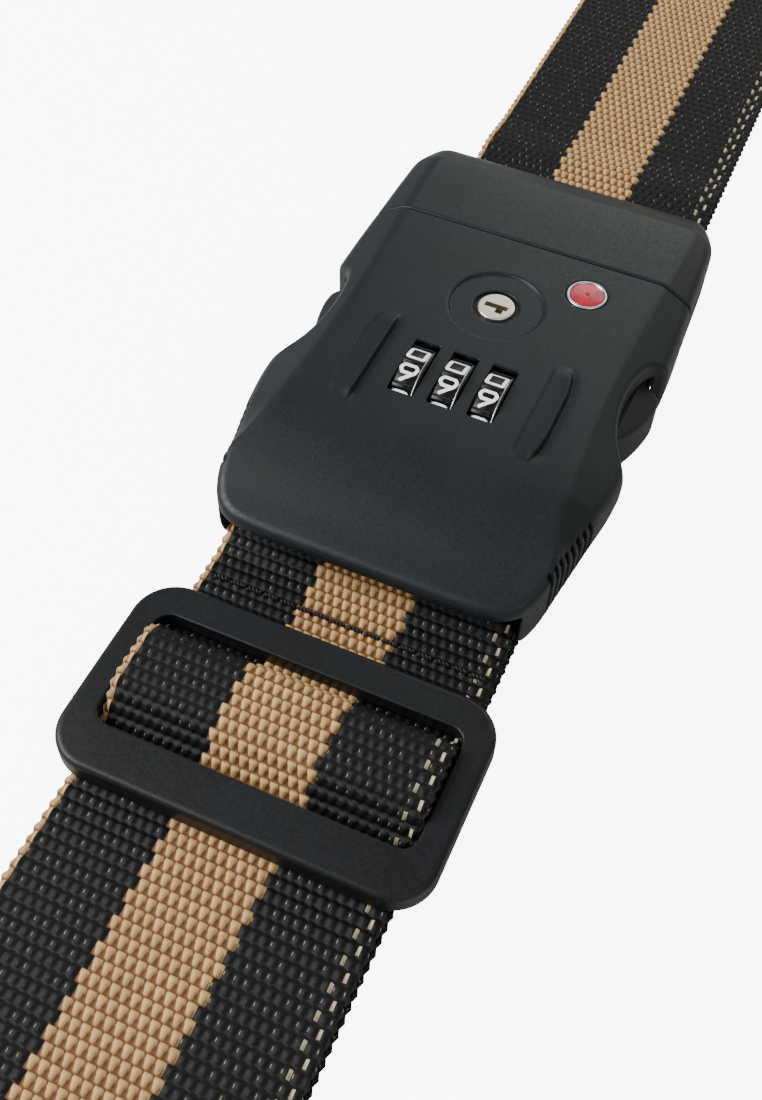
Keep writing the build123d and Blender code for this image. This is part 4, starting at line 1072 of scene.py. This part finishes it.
def resample(path, step):
    """The path with points spaced evenly at about step, and the direction at each."""
    keep = np.r_[True, np.linalg.norm(np.diff(path, axis=0), axis=1) > 1e-6]
    path = path[keep]
    along = np.r_[0, np.cumsum(np.linalg.norm(np.diff(path, axis=0), axis=1))]
    count = int(round(along[-1] / step)) + 1
    place = np.linspace(0, along[-1], count)
    even = np.stack([np.interp(place, along, path[:, i]) for i in (0, 1)], 1)
    direction = np.gradient(even, axis=0)
    direction /= np.linalg.norm(direction, axis=1)[:, None]
    return even, direction


def in_tan_band(u, v):
    """Whether the bump at each place belongs to the tan middle stripe."""
    shift = 0.5 * (np.abs(np.floor(v)) % 2)
    return np.abs((np.floor(u / PITCH - shift) + 0.5 + shift) * PITCH) < TAN_HALF


def weave_relief(u, v):
    """Share of the full bump height: tan teeth broad ahead and narrow behind, black rows like cords."""
    row = np.floor(v)
    shift = 0.5 * (np.abs(row) % 2)
    across = (u / PITCH - shift) % 1.0 - 0.5
    along = v - row - 0.5
    width = np.clip(0.68 + 0.88 * along, 0.3, 1.0)
    side = np.clip(1 - (2 * np.abs(across) / width) ** 2.6, 0, 1) ** 0.6
    ends = np.clip(1 - np.abs(2 * (along - 0.02)) ** 3.0, 0, 1) ** 0.6
    side = np.where(in_tan_band(u, v), side, 0.3 + 0.7 * side)
    return side * ends * (0.92 + 0.12 * along)


# The left edge is tan; near the right edge pale dashes alternate between two lines
TAN_EDGE = 0.8
DASH_FROM_EDGE = (1.2, 2.7)
DASH_HALF = 0.27


def yarn_colours(u, v):
    """Colour of the yarn at the middle of each face."""
    row = np.floor(v)
    left_edge = u < -WEB_WIDTH / 2 + TAN_EDGE
    from_right = WEB_WIDTH / 2 - u
    even = (np.abs(row) % 2) < 0.5
    first, second = (np.abs(from_right - place) < DASH_HALF for place in DASH_FROM_EDGE)
    cream = first & even | second & ~even
    cream &= np.abs(v - row - 0.5) < 0.3
    colour = np.empty((*u.shape, 4), np.float32)
    colour[:] = YARN_BLACK
    colour[in_tan_band(u, v) | left_edge] = YARN_TAN
    colour[cream] = YARN_CREAM
    return colour


def edge_fall(u, half_width):
    """How far the faces of the webbing draw together near its edges."""
    near = ((np.abs(u) - (half_width - EDGE_ROUND)) / EDGE_ROUND).clip(0)
    return np.sqrt(np.clip(1 - near**2, 0.02, 1))[None, :]


def woven_face(u, v, half_width):
    """Relief and height over the middle of the webbing for one of its faces."""
    relief = weave_relief(u[None, :], v[:, None])
    return relief, (PIT + (TOP_OUT - PIT) * relief) * edge_fall(u, half_width)


def ribbon_section(v, fine, back_fine, half_width):
    """Place across, height, relief and row shift of every point round the webbing, row by row.

    The order is the outer face, the right selvedge, the inner face and the left selvedge.
    """
    outer_u = np.linspace(-half_width, half_width, BUMPS_ACROSS * fine + 1)
    inner_u = np.linspace(half_width, -half_width, BUMPS_ACROSS * back_fine + 1)
    outer_relief, outer_h = woven_face(outer_u, v, half_width)
    inner_relief, inner_h = woven_face(inner_u, v + BACK_SHIFT, half_width)
    turn = np.linspace(0, np.pi, SELVEDGE_STEPS + 2)[1:-1]
    bead = SELVEDGE_BEAD * np.sin(2 * np.pi * v)[:, None]
    right_u = half_width - 0.06 + SELVEDGE_RADIUS * np.sin(turn)[None, :] + bead
    side_h = np.tile(SELVEDGE_RADIUS * np.cos(turn), (len(v), 1))
    side_relief = np.full(right_u.shape, 0.6)
    u = np.hstack([np.tile(outer_u, (len(v), 1)), right_u, np.tile(inner_u, (len(v), 1)), -right_u])
    height = np.hstack([outer_h, side_h, -inner_h, -side_h])
    relief = np.hstack([outer_relief, side_relief, inner_relief, side_relief])
    shift = np.zeros(u.shape[1])
    back_start = len(outer_u) + SELVEDGE_STEPS - 1
    shift[back_start:back_start + len(inner_u)] = BACK_SHIFT
    return u, height, relief, shift


def weave_corners(u, v, shift):
    """Weave coordinates, in bumps and rows, of the four corners of every face."""
    low_u, high_u = u[:-1] / PITCH, np.roll(u, -1, axis=1)[:-1] / PITCH
    low_v, high_v = v[:-1, None] + shift, v[1:, None] + shift
    ring = [(low_u, low_v), (high_u, low_v), (high_u, high_v), (low_u, high_v)]
    corners = np.stack([np.stack(pair, 2) for pair in ring], 2)
    return corners[:, :, ::-1].astype(np.float32)


def face_colours(u, v, shift):
    """Yarn colour of every face."""
    middle = ((u + np.roll(u, -1, axis=1)) / 2)[:-1]
    middle[:, -1] = u[:-1, -1]
    return yarn_colours(middle, ((v[:-1] + v[1:]) / 2)[:, None] + shift)


def make_webbing(names, path, body, fine, from_end=False, half_width=WEB_WIDTH / 2, back_fine=2, rows_per=6):
    """A woven ribbon along a YZ path, cut into as many pieces as there are names.

    fine is the number of cells over a bump on its outer face. Rows are counted from the
    start of the path, or back from its end.
    """
    points, direction = resample(np.asarray(path), ROW / rows_per)
    rows = len(points)
    steps = np.arange(rows)
    if from_end:
        steps = steps - steps[-1]
    v = steps / rows_per
    normal = np.stack([-direction[:, 1], direction[:, 0]], 1)
    u, height, relief, shift = ribbon_section(v, fine, back_fine, half_width)
    y = points[:, :1] + normal[:, :1] * height
    z = points[:, 1:] + normal[:, 1:] * height
    vertices = np.stack([u, y, z], 2)
    colours = face_colours(u, v, shift)
    corners = weave_corners(u, v, shift)
    pieces = []
    cuts = [round(rows * i / len(names) / rows_per) * rows_per for i in range(len(names))] + [rows - 1]
    for name, start, stop in zip(names, cuts, cuts[1:]):
        faces = grid_faces(stop - start + 1, u.shape[1], close_columns=True)[:, ::-1]
        piece = new_piece(name, vertices[start:stop + 1].reshape(-1, 3), faces, body, "webbing")
        mesh = piece.data
        yarn = mesh.attributes.new("yarn", "FLOAT_COLOR", "FACE")
        yarn.data.foreach_set("color", colours[start:stop].reshape(-1))
        lift = mesh.attributes.new("relief", "FLOAT", "POINT")
        lift.data.foreach_set("value", relief[start:stop + 1].astype(np.float32).reshape(-1))
        layer = mesh.uv_layers.new(name="weave")
        layer.uv.foreach_set("vector", corners[start:stop].reshape(-1))
        pieces.append(piece)
    return pieces


BAR_Y = (BAR_LOW[1] + BAR_HIGH[1]) / 2
PLUG_BAR_Y = (PLUG_BAR_LOW[1] + PLUG_BAR_HIGH[1]) / 2
BAR_Z = (BAR_LOW[2] + BAR_HIGH[2]) / 2
LOOP_RADIUS = (BAR_HIGH[2] - BAR_LOW[2]) / 2 + 0.05 + WEB_THICK / 2


def front_outer_path():
    """From the bottom run round the -Y end, up to the socket's bar and back below it."""
    climb = round_corners([(SLIDER_END_Y + FLARE_SHIFT, LAYER_Z[3]), (-5.0, LAYER_Z[3]),
                           (BAR_Y - 3.0, BAR_Z + LOOP_RADIUS), (BAR_Y, BAR_Z + LOOP_RADIUS)], 6.0)
    loop = arc((BAR_Y, BAR_Z), LOOP_RADIUS, np.pi / 2, -np.pi / 2)
    return np.vstack([[(FRONT_JOINT_Y, LAYER_Z[0])], front_turn(0), climb, loop, [(-14.0, LAYER_Z[2])]])


def front_inner_path():
    """The second layer, inside the turn at the -Y end."""
    return np.vstack([[(FRONT_JOINT_Y, LAYER_Z[1])], front_turn(LAYER_STEP), [(-20.0, LAYER_Z[2])]])


def back_outer_path():
    """From the plug's bar over the top to the +Y end and down, with the slight hump behind the plug."""
    climb = round_corners([(PLUG_BAR_Y, BAR_Z + LOOP_RADIUS), (PLUG_BAR_Y + 3.0, BAR_Z + LOOP_RADIUS),
                           (REAR_Y - 0.5, LAYER_Z[3]), (REAR_Y + 12.0, LAYER_Z[3]),
                           (REAR_Y + 20.0, LAYER_Z[3] + KINK), (REAR_Y + 29.0, LAYER_Z[3]),
                           (PLUG_END_Y - FLARE_SHIFT, LAYER_Z[3])], 12.0)
    return np.vstack([climb, back_turn(0), [(BACK_JOINT_Y, LAYER_Z[0])]])


def back_inner_path():
    """From the bottom run up round the +Y end and back to the plug's bar."""
    turn = back_turn(LAYER_STEP)
    loop = arc((PLUG_BAR_Y, BAR_Z), LOOP_RADIUS, 1.5 * np.pi, np.pi / 2)
    return np.vstack([loop[::-1], [(PLUG_BAR_Y, LAYER_Z[2])], turn, [(BACK_JOINT_Y, LAYER_Z[1])]])


# Places along Y from the middle of the slider's window where the run over its bar turns
HUMP_FEET = (-9.0, 9.2)
HUMP_TOP = (-4.1, 6.3)
HUMP_ENDS = (-15.0, 13.6)
HUMP_BEND = 3.2


def hump_path():
    """The run that climbs over the slider's centre bar, travelling +Y, steeper behind than ahead."""
    low, high = CENTRE_BAR_Z - 1.9, CENTRE_BAR_Z + 3.3
    turns = [(HUMP_ENDS[0], low), (HUMP_FEET[0], low), (HUMP_TOP[0], high),
             (HUMP_TOP[1], high), (HUMP_FEET[1], low), (HUMP_ENDS[1], low)]
    return round_corners([(FRAME_WINDOW_Y + y, z) for y, z in turns], HUMP_BEND)


def fixed_end_path():
    """The loop sewn round the centre bar."""
    half = CENTRE_BAR[0] - 0.6
    rise = CENTRE_BAR[1] + 0.05 + WEB_THICK / 2
    top = (FRAME_WINDOW_Y + half, CENTRE_BAR_Z)
    bottom = (FRAME_WINDOW_Y - half, CENTRE_BAR_Z)
    return np.vstack([arc(bottom, rise, -0.5 * np.pi, -1.5 * np.pi), arc(top, rise, np.pi / 2, -np.pi / 2)])


def make_all_webbing():
    """All runs of the webbing. Rows line up where two pieces meet."""
    fine, rows_per = ((6, 6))
    front = make_webbing(["webbing_front_end", "webbing_front"], front_outer_path(), "socket", fine,
                         back_fine=1, rows_per=rows_per)
    inner = make_webbing(["webbing_front_inner"], front_inner_path(), "socket", 3, rows_per=4)
    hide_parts("webbing_socket_run")
    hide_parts("webbing_inner_run")
    back = make_webbing(["webbing_back", "webbing_back_end"], back_outer_path(), "plug", fine,
                        from_end=True, back_fine=1, rows_per=rows_per)
    make_webbing(["webbing_back_inner"], back_inner_path(), "plug", 3, from_end=True, rows_per=4)
    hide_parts("webbing_plug_run")
    for name, layer in (("webbing_under", 0), ("webbing_under_inner", 1)):
        path = [(BACK_JOINT_Y, LAYER_Z[layer]), (FRONT_JOINT_Y, LAYER_Z[layer])]
        under = make_webbing([name], path, None, 3, back_fine=1, rows_per=4)[0]
        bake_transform(under)
    hump = make_webbing(["webbing_slider_hump"], hump_path(), "slider", fine, rows_per=rows_per,
                        half_width=SLIDER_WEB_HALF)
    fixed = make_webbing(["webbing_fixed_loop"], fixed_end_path(), "slider", 4, rows_per=4,
                         half_width=SLIDER_WEB_HALF)
    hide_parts("webbing_slider_turn")
    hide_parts("webbing_fixed_end")


# ---- stitching
STITCH_LOW, STITCH_HIGH = cad_box("stitch_row")
STITCH_COUNT = 16
STITCH_PITCH = (STITCH_HIGH[0] - STITCH_LOW[0]) / (STITCH_COUNT - 0.3)
PLY_RADIUS = 0.25
PLY_OFFSET = 0.2
PLY_TURNS = 2.2


def stitch_ply(index, start_angle, sides, steps):
    """One ply of a stitch: a tube wound round the other ply, its ends dipping into the webbing."""
    share = np.linspace(0, 1, steps)
    along = STITCH_LOW[0] + index * STITCH_PITCH + share * STITCH_PITCH * 0.97
    rise = LAYER_Z[3] + TOP_OUT + 0.16 - 0.7 * np.abs(2 * share - 1) ** 7
    sway = (STITCH_LOW[1] + STITCH_HIGH[1]) / 2 + 0.05 * np.sin(index * 2.4)
    angle = start_angle + share * PLY_TURNS * 2 * np.pi + index * 0.7
    around = np.linspace(0, 2 * np.pi, sides, endpoint=False)
    return np.stack([
        np.tile(along[:, None], (1, sides)),
        (sway + PLY_OFFSET * np.cos(angle))[:, None] + PLY_RADIUS * np.cos(around)[None, :],
        (rise + PLY_OFFSET * np.sin(angle))[:, None] + PLY_RADIUS * np.sin(around)[None, :]], 2)


def make_stitches():
    """A row of two-ply lock stitches."""
    sides, steps = 8, 22
    tube = grid_faces(steps, sides, close_columns=True)[:, ::-1]
    points, faces = [], []
    for index in range(STITCH_COUNT):
        for start_angle in (0.0, np.pi):
            faces.append(tube + len(points) * steps * sides)
            points.append(stitch_ply(index, start_angle, sides, steps).reshape(-1, 3))
    piece = new_piece("stitches", np.vstack(points), np.vstack(faces), "socket", "thread")
    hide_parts("stitch_row")


# ---- carried-over CAD pieces
CAD_FINISH = {
    "inner": ["socket_back_cover", "lock_chassis", "dial_sleeve_left", "dial_sleeve_middle",
              "dial_sleeve_right", "key_housing", "reset_button"],
    "steel": ["cover_screws", "socket_strap_bar", "plug_strap_bar", "dial_spindle", "spindle_spring",
              "detent_spring", "locking_plate"],
    "brass": ["key_cam"],
    "nickel": ["key_rotor"],
}


def finish_cad_pieces():
    """Gives the CAD nodes that stay in view their materials."""
    for finish, nodes in CAD_FINISH.items():
        for node in nodes:
            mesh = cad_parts[node].data
            mesh.materials.clear()
            mesh.materials.append(MATERIALS[finish])


# ---- stage, lights and camera
CAMERA_PLACE = (47.732, -113.708, 176.28)
CAMERA_AZIMUTH, CAMERA_ELEVATION, CAMERA_ROLL = 0.386, 0.923, 0.042
SENSOR_HEIGHT = 24.0
FOCAL_LENGTH = 28.433455
LIGHT_TARGET = Vector((0.0, 20.0, 10.0))
BACKDROP_GLOW = 8.0
WORLD_LIGHT = 0.36


def make_floor():
    """A wide pale floor just below the strap."""
    half, height = 3000.0, -0.05
    points = [(x, y, height) for x, y in ((-half, -half), (half, -half), (half, half), (-half, half))]
    shader = Shader("floor")
    tone = shader.spread(shader.noise(60.0, 2.0), 0.0, 1.0)
    shader.set(Base_Color=shader.mix(tone, rgb(212, 212, 213), rgb(208, 208, 210)))
    shader.set(Roughness=0.6)
    # the backdrop is lit by itself, without lighting the strap
    path = shader.node("ShaderNodeLightPath")
    glow = shader.math("MULTIPLY", path.outputs["Is Camera Ray"], BACKDROP_GLOW)
    shader.set(Emission_Color=(1.0, 1.0, 1.0, 1.0), Emission_Strength=glow)
    MATERIALS["floor"] = shader.material
    floor = new_piece("floor", points, [(0, 1, 2, 3)], None, "floor")


def area_light(name, place, size, power):
    """A soft rectangular light turned towards the buckle."""
    lamp = bpy.data.lights.new(name, "AREA")
    lamp.shape = "RECTANGLE"
    lamp.size, lamp.size_y = (s * MM for s in size)
    lamp.energy = power
    holder = bpy.data.objects.new(name, lamp)
    bpy.context.scene.collection.objects.link(holder)
    holder.location = Vector(place) * MM
    holder.rotation_euler = (LIGHT_TARGET - Vector(place)).to_track_quat("-Z", "Y").to_euler()


def make_lights():
    """Three soft lights and an even white sky, which looks brighter to the camera."""
    area_light("key_light", (-400.0, -160.0, 400.0), (360, 360), 4.9)
    area_light("fill_light", (380.0, -260.0, 380.0), (400, 400), 0.5)
    area_light("back_light", (60.0, 520.0, 300.0), (500, 260), 0.85)
    world = bpy.data.worlds.new("studio")
    bpy.context.scene.world = world
    world.use_nodes = True
    tree = world.node_tree
    background = tree.nodes["Background"]
    background.inputs["Color"].default_value = (1.0, 1.0, 1.0, 1.0)
    path = tree.nodes.new("ShaderNodeLightPath")
    strength = tree.nodes.new("ShaderNodeMath")
    strength.operation = "MULTIPLY_ADD"
    strength.inputs[1].default_value = BACKDROP_GLOW
    strength.inputs[2].default_value = WORLD_LIGHT
    tree.links.new(path.outputs["Is Camera Ray"], strength.inputs[0])
    tree.links.new(strength.outputs[0], background.inputs["Strength"])


def make_camera():
    """The camera, placed by its azimuth, elevation and roll in radians."""
    sin_a, cos_a = math.sin(CAMERA_AZIMUTH), math.cos(CAMERA_AZIMUTH)
    sin_e, cos_e = math.sin(CAMERA_ELEVATION), math.cos(CAMERA_ELEVATION)
    back = Vector((sin_a * cos_e, -cos_a * cos_e, sin_e))
    level = Vector((cos_a, sin_a, 0.0))
    upright = back.cross(level)
    right = math.cos(CAMERA_ROLL) * level + math.sin(CAMERA_ROLL) * upright
    up = -math.sin(CAMERA_ROLL) * level + math.cos(CAMERA_ROLL) * upright
    lens = bpy.data.cameras.new("camera")
    lens.sensor_fit = "VERTICAL"
    lens.sensor_height = SENSOR_HEIGHT
    lens.lens = FOCAL_LENGTH
    lens.clip_start, lens.clip_end = 0.005, 20.0
    camera = bpy.data.objects.new("camera", lens)
    bpy.context.scene.collection.objects.link(camera)
    turn = Matrix((right, up, back)).transposed()
    camera.matrix_world = Matrix.Translation(Vector(CAMERA_PLACE) * MM) @ turn.to_4x4()
    bpy.context.scene.camera = camera


make_socket()
make_plug()
make_arms()
make_slider()
make_dials()
make_dot()
make_all_webbing()
make_stitches()
finish_cad_pieces()
make_floor()
make_lights()
make_camera()
